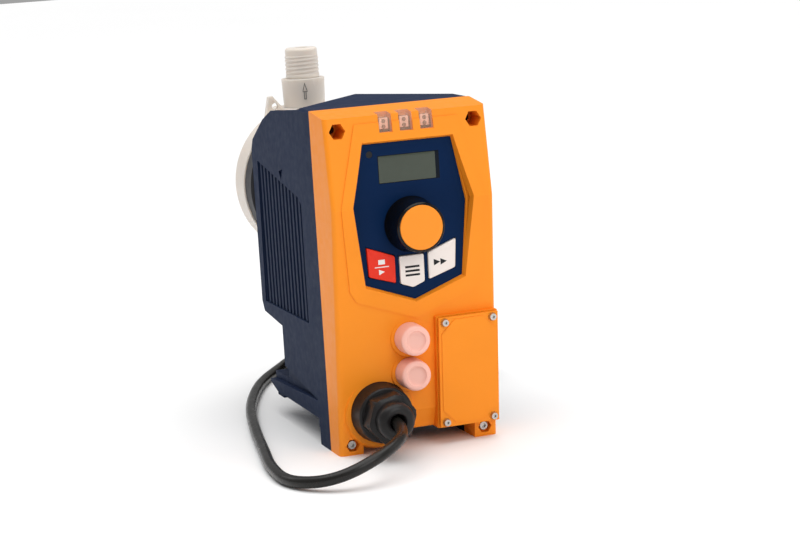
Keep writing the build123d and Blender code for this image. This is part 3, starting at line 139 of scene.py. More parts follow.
def crowned_key(corners, y_back, y_face, corner, edge, rings=7):
    """Key cap on an outline in x and z: the wall rises from y_back, the rim turns over on a quarter
    circle of the edge radius, and the flat face closes in rings towards its middle."""
    outline = rounded_outline(corners, corner)
    middle = outline.mean(axis=0)
    ahead = np.roll(outline, -1, axis=0) - np.roll(outline, 1, axis=0)
    ahead /= np.linalg.norm(ahead, axis=1)[:, None]
    inward = np.stack([-ahead[:, 1], ahead[:, 0]], axis=1)
    inward *= np.sign(np.sum(inward * (middle - outline), axis=1))[:, None]
    a = np.linspace(0, np.pi / 2, rings)
    inset, rise = edge * (1 - np.cos(a)), edge * (1 - np.sin(a))
    levels = [outline[None]]
    depths = [np.full(len(outline), y_back)]
    rim = outline[None] + inward[None] * inset[:, None, None]
    levels.append(rim)
    depths += [np.full(len(outline), y_face + r) for r in rise]
    share = np.array([0.8, 0.6, 0.4, 0.2, 0.0])
    inner = middle + (rim[-1][None] - middle) * share[:, None, None]
    levels.append(inner)
    depths += [np.full(len(outline), y_face)] * len(share)
    flat = np.concatenate(levels)
    y = np.stack(depths)
    points = np.stack([flat[..., 0], y, flat[..., 1]], axis=-1)
    back = np.tile([middle[0], y_back, middle[1]], (1, len(outline), 1))
    points = np.concatenate([back, points])
    return points.reshape(-1, 3), grid_faces(points.shape[0], points.shape[1], wrap_rows=False)


def flat_mark(outlines, place):
    """Thin printed or engraved mark: each closed outline is swept a short way, its two ends are
    capped, and place() turns the (x, depth, z) arrays into the frame."""
    vertices, faces, start = [], [], 0
    for outline in outlines:
        o = np.asarray(outline, dtype=float)
        n = len(o)
        near = place(o[:, 0], np.zeros(n), o[:, 1])
        far = place(o[:, 0], np.ones(n), o[:, 1])
        vertices += [near, far]
        faces += [list(range(start, start + n)), list(range(start + n, start + 2 * n))]
        k = np.arange(n)
        after = (k + 1) % n
        faces += np.stack([start + k, start + after, start + n + after, start + n + k], axis=1).tolist()
        start += 2 * n
    return np.concatenate(vertices), faces


def bar(x0, x1, z0, z1):
    """Outline of an upright rectangle."""
    return [(x0, z0), (x1, z0), (x1, z1), (x0, z1)]


# ----------------------------------------------------------------- finishes
def finish(name, colour, rough=0.5, metallic=0.0, grain=3000.0, depth=0.05, patch=25.0, spread=0.08,
           rough_spread=0.06, subsurface=0.0, stretch=(1, 1, 1), specular=0.22, alpha=1.0):
    """Plastic, rubber or metal: the colour drifts between two near shades on a broad noise, a mid
    noise moves the roughness, and a fine noise raises the moulded grain."""
    material = bpy.data.materials.new(name)
    material.use_nodes = True
    nodes, links = material.node_tree.nodes, material.node_tree.links
    shader = nodes["Principled BSDF"]
    shader.inputs["Metallic"].default_value = metallic
    shader.inputs["Subsurface Weight"].default_value = subsurface
    shader.inputs["Subsurface Scale"].default_value = 0.004
    shader.inputs["Subsurface Radius"].default_value = (1.0, 0.9, 0.8)
    shader.inputs["Specular IOR Level"].default_value = specular
    shader.inputs["Alpha"].default_value = alpha
    place = nodes.new("ShaderNodeTexCoord")
    turn = nodes.new("ShaderNodeMapping")
    turn.inputs["Scale"].default_value = stretch
    links.new(place.outputs["Object"], turn.inputs["Vector"])

    def noise(scale, detail=3.0, roughness=0.55):
        n = nodes.new("ShaderNodeTexNoise")
        n.inputs["Scale"].default_value = scale
        n.inputs["Detail"].default_value = detail
        n.inputs["Roughness"].default_value = roughness
        links.new(turn.outputs["Vector"], n.inputs["Vector"])
        return n.outputs["Fac"]

    base = np.array(colour[:3])
    mix = nodes.new("ShaderNodeMix")
    mix.data_type = "RGBA"
    mix.inputs[6].default_value = (*(base * (1 - spread)), 1)
    mix.inputs[7].default_value = (*np.minimum(base * (1 + spread) + 0.01 * spread, 1), 1)
    links.new(noise(patch, 4.0), mix.inputs[0])
    links.new(mix.outputs[2], shader.inputs["Base Color"])
    band = nodes.new("ShaderNodeMapRange")
    band.inputs["From Min"].default_value = 0.3
    band.inputs["From Max"].default_value = 0.7
    band.inputs["To Min"].default_value = max(rough - rough_spread, 0.02)
    band.inputs["To Max"].default_value = min(rough + rough_spread, 1.0)
    links.new(noise(patch * 9, 5.0), band.inputs["Value"])
    links.new(band.outputs["Result"], shader.inputs["Roughness"])
    bump = nodes.new("ShaderNodeBump")
    bump.inputs["Strength"].default_value = min(depth * 4, 1.0)
    bump.inputs["Distance"].default_value = depth * MM
    links.new(noise(grain, 2.0, 0.6), bump.inputs["Height"])
    links.new(bump.outputs["Normal"], shader.inputs["Normal"])
    return material


def position_axes(material):
    """The X, Y and Z outputs of the object coordinate, in a material."""
    nodes, links = material.node_tree.nodes, material.node_tree.links
    place = nodes.new("ShaderNodeTexCoord")
    split = nodes.new("ShaderNodeSeparateXYZ")
    links.new(place.outputs["Object"], split.inputs["Vector"])
    return split.outputs


def maths(material, operation, first, second=None):
    """Output of a new maths node. The second operand is a number, another output or left out."""
    links = material.node_tree.links
    node = material.node_tree.nodes.new("ShaderNodeMath")
    node.operation = operation
    links.new(first, node.inputs[0])
    if isinstance(second, float):
        node.inputs[1].default_value = second
    elif second is not None:
        links.new(second, node.inputs[1])
    return node.outputs[0]


def darken(material, mask, dark):
    """Lays a dark colour over the base colour where the mask is 1."""
    nodes, links = material.node_tree.nodes, material.node_tree.links
    base = nodes["Principled BSDF"].inputs["Base Color"]
    old = base.links[0].from_socket
    mix = nodes.new("ShaderNodeMix")
    mix.data_type = "RGBA"
    mix.inputs[7].default_value = (*dark, 1)
    links.new(mask, mix.inputs[0])
    links.new(old, mix.inputs[6])
    links.new(mix.outputs[2], base)
    return material


def add_bands(material, axis, pitch, dark, level, cross_axis=None, cross_pitch=None):
    """Fine lines across one axis or two, such as windings or board tracks: a sine of the coordinate
    over the pitch is cut at a level and darkens the colour above it."""
    axes = position_axes(material)

    def wave(name, step):
        turn = maths(material, "MULTIPLY", axes[name], 2 * np.pi / step)
        return maths(material, "GREATER_THAN", maths(material, "SINE", turn), level)

    mask = wave(axis, pitch)
    if cross_axis:
        mask = maths(material, "MAXIMUM", mask, wave(cross_axis, cross_pitch))
    return darken(material, mask, dark)


def paint_shade_above(material, height, dark):
    """Painted shade on the screws above a height: the colour is the dark one where z is greater, in place of
    the shade and orange reflections of their deep recesses.
    """
    above = maths(material, "GREATER_THAN", position_axes(material)["Z"], height)
    return darken(material, above, dark)


def dress(material, *names):
    """Gives CAD nodes a finish."""
    for name in names:
        node = NODES[name]
        for held in node.material_slots:
            held.material = material


FINISHES = {}


def finish_of(key):
    """The finish of that key, made once from the add-on's colours."""
    if key in FINISHES:
        return FINISHES[key]
    c = bpy.context.scene.pump_colours
    made = {
        "orange": lambda: finish("orange_moulding", c.cover, 0.46, grain=2600, depth=0.06, spread=0.05),
        "disc": lambda: finish("orange_disc", c.knob_disc, 0.42, grain=4200, depth=0.05, spread=0.04),
        "navy": lambda: finish("navy_moulding", c.housing, 0.6, grain=2400, depth=0.06, spread=0.1,
                               specular=0.08),
        "fascia": lambda: finish("fascia_film", c.fascia, 0.35, grain=5200, depth=0.02, spread=0.06,
                                 specular=0.05),
        "red": lambda: finish("stop_key_red", c.stop_key, 0.42, grain=5200, depth=0.03, spread=0.04),
        "white_key": lambda: finish("key_white", c.keys, 0.4, grain=5200, depth=0.03, spread=0.02),
        "knob": lambda: finish("knob_black", c.knob, 0.14, grain=1800, depth=0.01, spread=0.2, specular=0.25),
        "black": lambda: finish("gland_black", c.gland, 0.38, grain=2600, depth=0.05, spread=0.25,
                                specular=0.3),
        "rubber": lambda: finish("seal_rubber", c.gland, 0.7, grain=3200, depth=0.08, spread=0.2),
        "cable": lambda: finish("lead_sheath", c.cable, 0.3, grain=2300, depth=0.03, spread=0.25,
                                specular=0.3),
        "white": lambda: finish("natural_polypropylene", c.liquid_end, 0.4, grain=1500, depth=0.04,
                                spread=0.04, subsurface=0.7),
        "cap": lambda: finish("cap_polyethylene", c.caps, 0.35, grain=1900, depth=0.03, spread=0.04,
                              subsurface=0.25),
        "grey": lambda: finish("adapter_grey", (0.055, 0.055, 0.06), 0.55, grain=2300, depth=0.09,
                               spread=0.15),
        "steel": lambda: finish("screw_steel", STEEL, 0.3, 1.0, grain=2600, depth=0.02, spread=0.1),
        # Cover screws: above 0.1 m the steel gets a painted shade, a dark red-brown standing for the shadow
        # and orange reflection in the deep upper recesses.
        "shaded_cover_steel": lambda: paint_shade_above(finish("shaded_cover_screw_steel", STEEL, 0.3, 1.0, grain=2600,
                                                   depth=0.02, spread=0.1), 0.1, (0.03, 0.012, 0.006)),
        "magnet": lambda: finish("yoke_steel", (0.3, 0.3, 0.31), 0.38, 1.0, grain=900, depth=0.03,
                                 spread=0.15, stretch=(1, 8, 1)),
        "nickel": lambda: finish("pin_nickel", (0.68, 0.66, 0.62), 0.22, 1.0, grain=2600, depth=0.02,
                                 spread=0.08, stretch=(1, 0.1, 1)),
        "bronze": lambda: finish("bush_bronze", (0.42, 0.24, 0.1), 0.36, 1.0, grain=1800, depth=0.04,
                                 spread=0.15),
        "ceramic": lambda: finish("ceramic_ball", (0.8, 0.79, 0.74), 0.12, grain=2800, depth=0.01,
                                  spread=0.02),
        "seat": lambda: finish("seat_plastic", (0.16, 0.16, 0.17), 0.4, grain=2800, depth=0.04, spread=0.1),
        "mark_black": lambda: finish("printed_black", (0.012, 0.012, 0.014), 0.4, grain=5000, depth=0.02,
                                     spread=0.2),
        "mark_white": lambda: finish("printed_white", (0.8, 0.78, 0.75), 0.4, grain=5000, depth=0.02,
                                     spread=0.02),
        "mark_grey": lambda: finish("engraved_grey", (0.16, 0.15, 0.14), 0.6, grain=4000, depth=0.02,
                                    spread=0.1),
        "window": lambda: finish("window_clear", c.windows, 0.16, grain=1400, depth=0.01, spread=0.05,
                                 alpha=0.24, specular=0.4),
        "lamp": lambda: finish("lamp_resin", (0.06, 0.045, 0.012), 0.3, grain=2500, depth=0.03, spread=0.3),
        "reflector": lambda: finish("lamp_reflector", (0.95, 0.66, 0.52), 0.4, grain=2500, depth=0.02,
                                    spread=0.05),
        "copper": lambda: add_bands(finish("winding_copper", (0.5, 0.19, 0.07), 0.32, 0.8, grain=2600,
                                           depth=0.03),
                                    "Y", 0.0011, (0.16, 0.05, 0.02), 0.1),
        "board": lambda: add_bands(finish("board_green", (0.012, 0.11, 0.045), 0.38, grain=2600, depth=0.03),
                                   "X", 0.0031, (0.03, 0.2, 0.09), 0.86, "Z", 0.0043),
        "display": lambda: finish("display_glass", c.display, 0.14, grain=5200, depth=0.005, spread=0.12,
                                  patch=45, specular=0.4),
        "display_frame": lambda: finish("display_frame", (0.003, 0.006, 0.012), 0.2, grain=5200, depth=0.01,
                                        spread=0.1, specular=0.1),
    }
    FINISHES[key] = made[key]()
    return FINISHES[key]


# ------------------------------------------------------------ sizes and colours
def colour_property(label, words, value):
    """A colour with its description and default."""
    return FloatVectorProperty(name=label, description=words, subtype="COLOR", size=3, min=0.0, max=1.0,
                               default=value)


class PumpSizes(bpy.types.PropertyGroup):
    """Sizes of the pieces made here."""

    cable: FloatProperty(name="Lead diameter", description="Outer diameter of the mains lead",
                         default=0.0065, min=0.003, max=0.012, unit="LENGTH")
    coil_radius: FloatProperty(name="Coil radius", description="Radius of the outer turn of the unused lead",
                               default=0.0475, min=0.03, max=0.1, unit="LENGTH")
    coil_turns: FloatProperty(name="Coil turns", description="Turns from the lead's arrival to its end",
                              default=5.3125, min=1.0, max=12.0)
    thread_pitch: FloatProperty(name="Thread pitch", description="Rise of the connector threads per turn",
                                default=0.0024, min=0.001, max=0.004, unit="LENGTH")
    thread_depth: FloatProperty(name="Thread depth", description="Depth of the connector threads",
                                default=0.00045, min=0.0001, max=0.002, unit="LENGTH")
    key_edge: FloatProperty(name="Key edge", description="Radius of the keys' rims",
                            default=0.0005, min=0.0001, max=0.001, unit="LENGTH")
    round_steps: IntProperty(name="Steps round", description="Segments of a full turn",
                             default=96, min=24, max=256)


class PumpColours(bpy.types.PropertyGroup):
    """Colours of the finishes."""

    cover: colour_property("Cover", "Orange of the front cover", (0.92, 0.275, 0.012))
    knob_disc: colour_property("Knob disc", "Orange of the disc in the knob", (0.93, 0.28, 0.02))
    housing: colour_property("Housing", "Navy of the rear housing", (0.012, 0.022, 0.055))
    fascia: colour_property("Fascia", "Blue of the control panel", (0.0022, 0.016, 0.062))
    stop_key: colour_property("Stop key", "Red of the stop key", (0.76, 0.032, 0.012))
    keys: colour_property("Keys", "White of the other keys", (0.86, 0.78, 0.73))
    knob: colour_property("Knob", "Black of the knob", (0.0018, 0.0018, 0.0018))
    gland: colour_property("Gland", "Black of the cable gland", (0.008, 0.007, 0.007))
    cable: colour_property("Lead", "Black of the mains lead", (0.008, 0.007, 0.006))
    liquid_end: colour_property("Liquid end", "Natural white of head and valves", (0.74, 0.67, 0.6))
    caps: colour_property("Caps", "Pinkish white of the socket caps", (0.9, 0.49, 0.41))
    windows: colour_property("Windows", "Frosted status windows", (0.9, 0.56, 0.42))
    display: colour_property("Display", "Grey green of the display", (0.043, 0.055, 0.038))
    floor: colour_property("Floor", "Pale floor", (0.9, 0.9, 0.9))


# ------------------------------------------------------------------- operators
class PUMP_OT_stage(bpy.types.Operator):
    """Make the pale floor, the studio lights and the camera"""

    bl_idname = "pump.stage"
    bl_label = "Stage, lights and camera"

    def execute(self, context):
        scene = context.scene
        corners = np.array([(-4, -4, 0), (4, -4, 0), (4, 6, 0), (-4, 6, 0)], dtype=float)
        mesh = bpy.data.meshes.new("floor")
        mesh.from_pydata(corners.tolist(), [], [(0, 1, 2, 3)])
        floor = bpy.data.objects.new("floor", mesh)
        scene.collection.objects.link(floor)
        look = finish("studio_floor", scene.pump_colours.floor, 0.7, grain=400, depth=0.01, patch=1.5,
                      spread=0.01, rough_spread=0.02, specular=0.2)
        floor.data.materials.append(look)

        world = bpy.data.worlds.new("studio")
        world.use_nodes = True
        world.node_tree.nodes["Background"].inputs["Color"].default_value = (1, 1, 1, 1)
        world.node_tree.nodes["Background"].inputs["Strength"].default_value = 0.36
        scene.world = world
        for name, where, size, power in (
            ("key_light", (0.3, -1.7, 1.0), 0.9, 9.5),
            ("fill_light", (1.6, -0.6, 0.8), 1.0, 3),
            ("back_light", (-1.0, 1.2, 1.2), 0.9, 3),
        ):
            light = bpy.data.lights.new(name, "AREA")
            light.size = size
            light.energy = power
            lamp = bpy.data.objects.new(name, light)
            lamp.location = where
            lamp.rotation_euler = (Vector(LIGHTS_AIM) - Vector(where)).to_track_quat("-Z", "Y").to_euler()
            scene.collection.objects.link(lamp)
        sky = bpy.data.lights.new("overhead_light", "SUN")
        sky.energy = 2.5
        sky.angle = np.radians(70)
        lamp = bpy.data.objects.new("overhead_light", sky)
        scene.collection.objects.link(lamp)

        camera = bpy.data.cameras.new("camera")
        camera.sensor_width = 36
        camera.sensor_fit = "HORIZONTAL"
        camera.lens = CAMERA_LENS
        camera.clip_end = 50
        eye = bpy.data.objects.new("camera", camera)
        yaw, pitch, roll = np.radians(CAMERA_TURN)
        turn = Matrix.Rotation(-yaw, 4, "Z") @ Matrix.Rotation(np.pi / 2 - pitch, 4, "X")
        eye.rotation_euler = (turn @ Matrix.Rotation(roll, 4, "Z")).to_euler()
        eye.location = CAMERA_PLACE
        scene.collection.objects.link(eye)
        scene.camera = eye
        scene.view_settings.view_transform = "Standard"
        scene.view_settings.look = "None"
        return {"FINISHED"}


class PUMP_OT_lead(bpy.types.Operator):
    """Lay the mains lead from the gland to its coil behind the pump and to the plug"""

    bl_idname = "pump.lead"
    bl_label = "Mains lead, coil and plug"

    def execute(self, context):
        sizes = context.scene.pump_sizes
        # The wound part: the radius falls by one lead width a turn to the middle of the coil's
        # length and grows again on the second layer, which the lead reaches in a short climb.
        points_per_turn = 16
        turn_width = 1.008           # in lead diameters
        inside_points = 0.981        # the curve runs at this share of its points' radius
        start_angle = np.radians(142.0)
        middle_turn, climb_turns = 2.697, 0.16
        turned_by = np.arange(0.0, sizes.coil_turns + 1e-6, 1 / points_per_turn)
        inwards = np.minimum(turned_by, 2 * middle_turn - turned_by)
        radius = (sizes.coil_radius - turn_width * sizes.cable * inwards) / inside_points
        angle = start_angle - 2 * np.pi * turned_by
        climb = np.clip((turned_by - middle_turn) / climb_turns + 0.5, 0, 1)
        height = LEAD_ON_FLOOR + sizes.cable * climb ** 2 * (3 - 2 * climb)
        coil = np.stack([COIL_X + radius * np.cos(angle), COIL_Y + radius * np.sin(angle), height], axis=1)
        points = np.concatenate([np.array(LEAD_MM) * MM, coil, np.array(TAIL_MM) * MM])

        curve = bpy.data.curves.new("mains_lead", "CURVE")
        curve.dimensions = "3D"
        line = curve.splines.new("NURBS")
        line.points.add(len(points) - 1)
        line.points.foreach_set("co", np.c_[points, np.ones(len(points))].ravel())
        line.order_u = 3
        line.use_endpoint_u = True
        curve.resolution_u = 8
        curve.bevel_depth = sizes.cable / 2
        curve.bevel_resolution = 6
        curve.use_fill_caps = True
        lead = bpy.data.objects.new("mains_lead", curve)
        context.scene.collection.objects.link(lead)
        lead.data.materials.append(finish_of("cable"))
        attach(lead, "housing")
        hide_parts("mains_cable", "cable_coil")
        dress(finish_of("cable"), "mains_plug")
        dress(finish_of("nickel"), "plug_pins")
        return {"FINISHED"}


class PUMP_OT_housing(bpy.types.Operator):
    """Finish the two mouldings, their seals and their screws"""

    bl_idname = "pump.housing"
    bl_label = "Housing and cover finishes"

    def execute(self, context):
        dress(finish_of("navy"), "rear_housing")
        dress(finish_of("orange"), "front_cover", "terminal_cover")
        dress(finish_of("rubber"), "cover_gasket", "terminal_seal", "valve_rings", "diaphragm", "gland_seal")
        dress(finish_of("steel"), "adapter_screws", "head_screws", "terminal_cover_screws")
        # The upper cover screws carry the painted shade of their recesses.
        dress(finish_of("shaded_cover_steel"), "cover_screws")
        dress(finish_of("fascia"), "fascia_panel")
        dress(finish_of("mark_black"), "light_sensor")
        return {"FINISHED"}


class PUMP_OT_keys(bpy.types.Operator):
    """Make the three soft-edged keys with their printed symbols"""

    bl_idname = "pump.keys"
    bl_label = "Keys and symbols"

    def execute(self, context):
        edge = context.scene.pump_sizes.key_edge
        face = FASCIA_Y - 0.0010
        print_y = face - 0.00006

        def on_key(x, depth, z):
            return np.stack([x * MM, print_y + 0.0004 * depth, z * MM], axis=1)

        rows = (
            ("stop_key", STOP_KEY_MM, "red", "stop_red", "mark_white",
             [bar(-20.4, -16.6, 105.6, 108.2), bar(-22.6, -14.4, 103.9, 104.4),
              [(-20.3, 99.9), (-20.3, 102.9), (-16.9, 101.4)]]),
            ("menu_key", MENU_KEY_MM, "white_key", "key_white", "mark_black",
             [bar(-5.1, 3.2, z, z + 1.15) for z in (97.3, 99.6, 101.9)]),
            ("prime_key", PRIME_KEY_MM, "white_key", "key_white", "mark_black",
             [[(11.7, 101.6), (11.7, 105.2), (15.5, 103.4)], [(15.6, 101.6), (15.6, 105.2), (19.4, 103.4)]]),
        )
        for name, corners, look, slot, ink, symbol in rows:
            outline = np.array(corners) * MM
            shape = crowned_key(outline, FASCIA_Y + 0.0034, face, 0.0011, edge)
            cap = new_piece(f"{name}_cap", *shape, name, slot, finish_of(look))
            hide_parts(name)
            new_piece(f"{name}_symbol", *flat_mark(symbol, on_key), name, slot, finish_of(ink))
        return {"FINISHED"}


class PUMP_OT_knob(bpy.types.Operator):
    """Make the glossy knob with its flared foot and its orange disc"""

    bl_idname = "pump.knob"
    bl_label = "Knob and disc"

    def execute(self, context):
        steps = context.scene.pump_sizes.round_steps
        back, front = PARTING_Y - 0.02385, PARTING_Y - 0.03985
        length = back - front
        # Barrel: the radius grows towards the foot as 13.7 + 1.8 s^3 mm, s from 0.07 to 1.
        s = np.linspace(0.07, 1.0, 24)
        barrel = np.stack([0.0137 + 0.0018 * s ** 3, front + length * s], axis=1)
        a = np.linspace(0, np.pi / 2, 6)
        rim = np.stack([0.0127 + 0.001 * np.sin(a), front + 0.001 * (1 - np.cos(a))], axis=1)
        # Rear hollow, 13 mm in radius and 10 mm deep: larger than the recess of the CAD node, which is
        # 6 mm in radius and 5 mm deep.
        inside = np.array([(0.0130, back), (0.0130, front + 0.0060), (0.0031, front + 0.0060),
                           (0.0031, front + 0.0013), (0.01245, front + 0.0013), (0.01245, front)])
        profile = np.concatenate([rim, barrel, inside])
        knob = new_piece("knob_body", *turned(profile, (0, 0, KNOB_Z), steps), "knob", "knob_black",
                         finish_of("knob"))
        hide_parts("control_knob")
        # Disc: nearly flat face with a rolled rim of 0.45 mm.
        rim = np.stack([0.01175 + 0.00045 * np.sin(a), front - 0.0004 + 0.00045 * (1 - np.cos(a))], axis=1)
        face = np.array([(0.0, front - 0.00035), (0.006, front - 0.00038)])
        inside = np.array([(0.0122, front + 0.0011), (0.0, front + 0.0011)])
        shape = turned(np.concatenate([face, rim, inside]), (0, 0, KNOB_Z), steps)
        disc = new_piece("knob_face", *shape, "knob", "orange_cover", finish_of("disc"))
        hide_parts("knob_disc")
        dress(finish_of("steel"), "knob_shaft")
        dress(finish_of("seat"), "click_plunger")
        return {"FINISHED"}


class PUMP_OT_display(bpy.types.Operator):
    """Make the display window with its dark surround and its grey-green field"""

    bl_idname = "pump.display"
    bl_label = "Display"

    def execute(self, context):
        frame_y, field_y = FASCIA_Y - 0.00006, FASCIA_Y - 0.00013
        outer = np.array([(-16.9, 149.3), (18.6, 149.3), (18.6, 164.7), (-16.9, 164.7)]) * MM
        shape = crowned_key(outer, FASCIA_Y + 0.0016, frame_y, 0.0004, 0.00015)
        pane = new_piece("display_pane", *shape, "housing", "display_glass", finish_of("display_frame"))
        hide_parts("display_window")
        inner = np.array([(-16.5, 149.7), (16.3, 149.7), (16.3, 164.3), (-16.5, 164.3)]) * MM
        shape = crowned_key(inner, FASCIA_Y + 0.0008, field_y, 0.0004, 0.00004)
        new_piece("display_field", *shape, "housing", "display_glass", finish_of("display"))
        return {"FINISHED"}


class PUMP_OT_windows(bpy.types.Operator):
    """Finish the frosted status windows and set a reflector and two lamps behind each"""

    bl_idname = "pump.windows"
    bl_label = "Status windows"

    def execute(self, context):
        dress(finish_of("window"), "status_windows")
        dress(finish_of("board"), "status_lamps")
        t = np.linspace(0, np.pi, 12)
        dome = np.stack([0.00125 * np.sin(t), -0.0008 * np.cos(t)], axis=1)
        for side, name in ((-1, "left"), (0, "middle"), (1, "right")):
            x = side * LAMP_PITCH
            pair = [turned(dome, (x, PARTING_Y - 0.02165, z * MM), 24) for z in (180.1, 183.1)]
            (low, low_faces), (high, high_faces) = pair
            points = np.concatenate([low, high])
            faces = np.concatenate([low_faces, high_faces + len(low)])
            new_piece(f"lamp_pair_{name}", points, faces, "housing", "lamp_strip", finish_of("lamp"))
            outline = np.array(bar(-2.5, 2.5, 178.95, 184.9)) * MM + (x, 0)
            shape = crowned_key(outline, PARTING_Y - 0.0215, PARTING_Y - 0.0220, 0.0004, 0.0001)
            new_piece(f"lamp_reflector_{name}", *shape, "housing", "lamp_strip", finish_of("reflector"))
        return {"FINISHED"}


class PUMP_OT_sockets(bpy.types.Operator):
    """Make the protective caps of the control sockets and finish the sockets"""

    bl_idname = "pump.sockets"
    bl_label = "Control sockets and caps"

    def execute(self, context):
        steps = context.scene.pump_sizes.round_steps
        dress(finish_of("black"), "upper_socket", "lower_socket")
        for name, z, rear in (("upper", 0.0632, -0.02471), ("lower", 0.0433, -0.02269)):
            rear += PARTING_Y
            front = rear - 0.010
            a = np.linspace(0, np.pi / 2, 8)
            # Front: a dish 1.3 mm deep inside a rounded rim; the wall widens by 0.3 mm to the rear.
            s = np.linspace(0, 1, 12)
            dish = np.stack([0.0056 * s, front + 0.0013 * (1 - s ** 10)], axis=1)
            rim = np.stack([0.0068 + 0.0016 * np.sin(a), front + 0.0016 * (1 - np.cos(a))], axis=1)
            wall = np.array([(0.0087, front + 0.007), (0.0087, rear + 0.0012)])
            hollow = np.array([(0.0081, rear + 0.0012), (0.0081, rear), (0.0061, rear),
                               (0.0061, rear - 0.0076), (0.0, rear - 0.0076)])
            shape = turned(np.concatenate([dish, rim, wall, hollow]), (-0.005, 0, z), steps)
            cap = new_piece(f"{name}_cap_moulding", *shape, "housing", "cap_white", finish_of("cap"))
            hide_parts(f"{name}_socket_cap")
        return {"FINISHED"}


class PUMP_OT_gland(bpy.types.Operator):
    """Finish the cable gland"""

    bl_idname = "pump.gland"
    bl_label = "Cable gland"

    def execute(self, context):
        steps = context.scene.pump_sizes.round_steps * 2
        t = np.linspace(0, 2 * np.pi, steps, endpoint=False)[None]
        seat, front = PARTING_Y - 0.01995, PARTING_Y - 0.050

        half_flats = 0.01275
        first_flat = np.radians(12)

        def piece(name, rows, replaced):
            """One moulding. Each row is (radius R, y, share k of hexagon), and its section is
            (1 - k) R + k min(R, half_flats / cos(30 deg - |saw|)), a circle that turns into a hexagon."""
            rows = np.array(rows)
            radius, y, share = (rows[:, k][:, None] for k in range(3))
            saw = np.mod(t - first_flat + np.pi / 6, np.pi / 3) - np.pi / 6
            flat = half_flats / np.cos(np.pi / 6 - np.abs(saw))
            section = (1 - share) * radius + share * np.minimum(radius, flat)
            x, z = GLAND_X + section * np.cos(t), GLAND_Z + section * np.sin(t)
            points = np.stack([x, y + 0 * t, z], axis=-1)
            made = new_piece(name, points.reshape(-1, 3), grid_faces(len(rows), steps), "housing",
                             "black_plastic", finish_of("black"), 28)
            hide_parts(replaced)

        a = np.linspace(0, np.pi / 2, 6)
        collar = [(0.0170, seat, 0), (0.0167, seat - 0.0006, 0), (0.0157, seat - 0.0098, 0)]
        collar += [(0.0145 + 0.0012 * np.cos(q), seat - 0.0098 - 0.0012 * np.sin(q), 0) for q in a]
        collar += [(0.0062, seat - 0.0110, 0), (0.0062, PARTING_Y - 0.006, 0), (0.0100, PARTING_Y - 0.006, 0)]
        piece("gland_collar", collar + [(0.0100, seat, 0)], "gland_body")
        nut = [(0.0063, seat - 0.0111, 0), (0.0140, seat - 0.0111, 1), (0.0145, seat - 0.0117, 1)]
        nut += [(0.0147, seat - 0.0190, 1), (0.0136, seat - 0.0208, 1), (0.0117, seat - 0.0216, 0)]
        nut += [(0.0106, seat - 0.0218, 0), (0.0104, front + 0.0042, 0)]
        b = np.linspace(0, np.pi / 2, 9)
        nut += [(0.0062 + 0.0042 * np.cos(q), front + 0.0042 - 0.0042 * np.sin(q), 0) for q in b[1:]]
        nut += [(0.0050, front + 0.0004, 0), (0.0042, front + 0.0016, 0), (0.0040, seat - 0.0180, 0)]
        piece("gland_dome_nut", nut + [(0.0063, seat - 0.0170, 0)], "gland_nut")
        return {"FINISHED"}


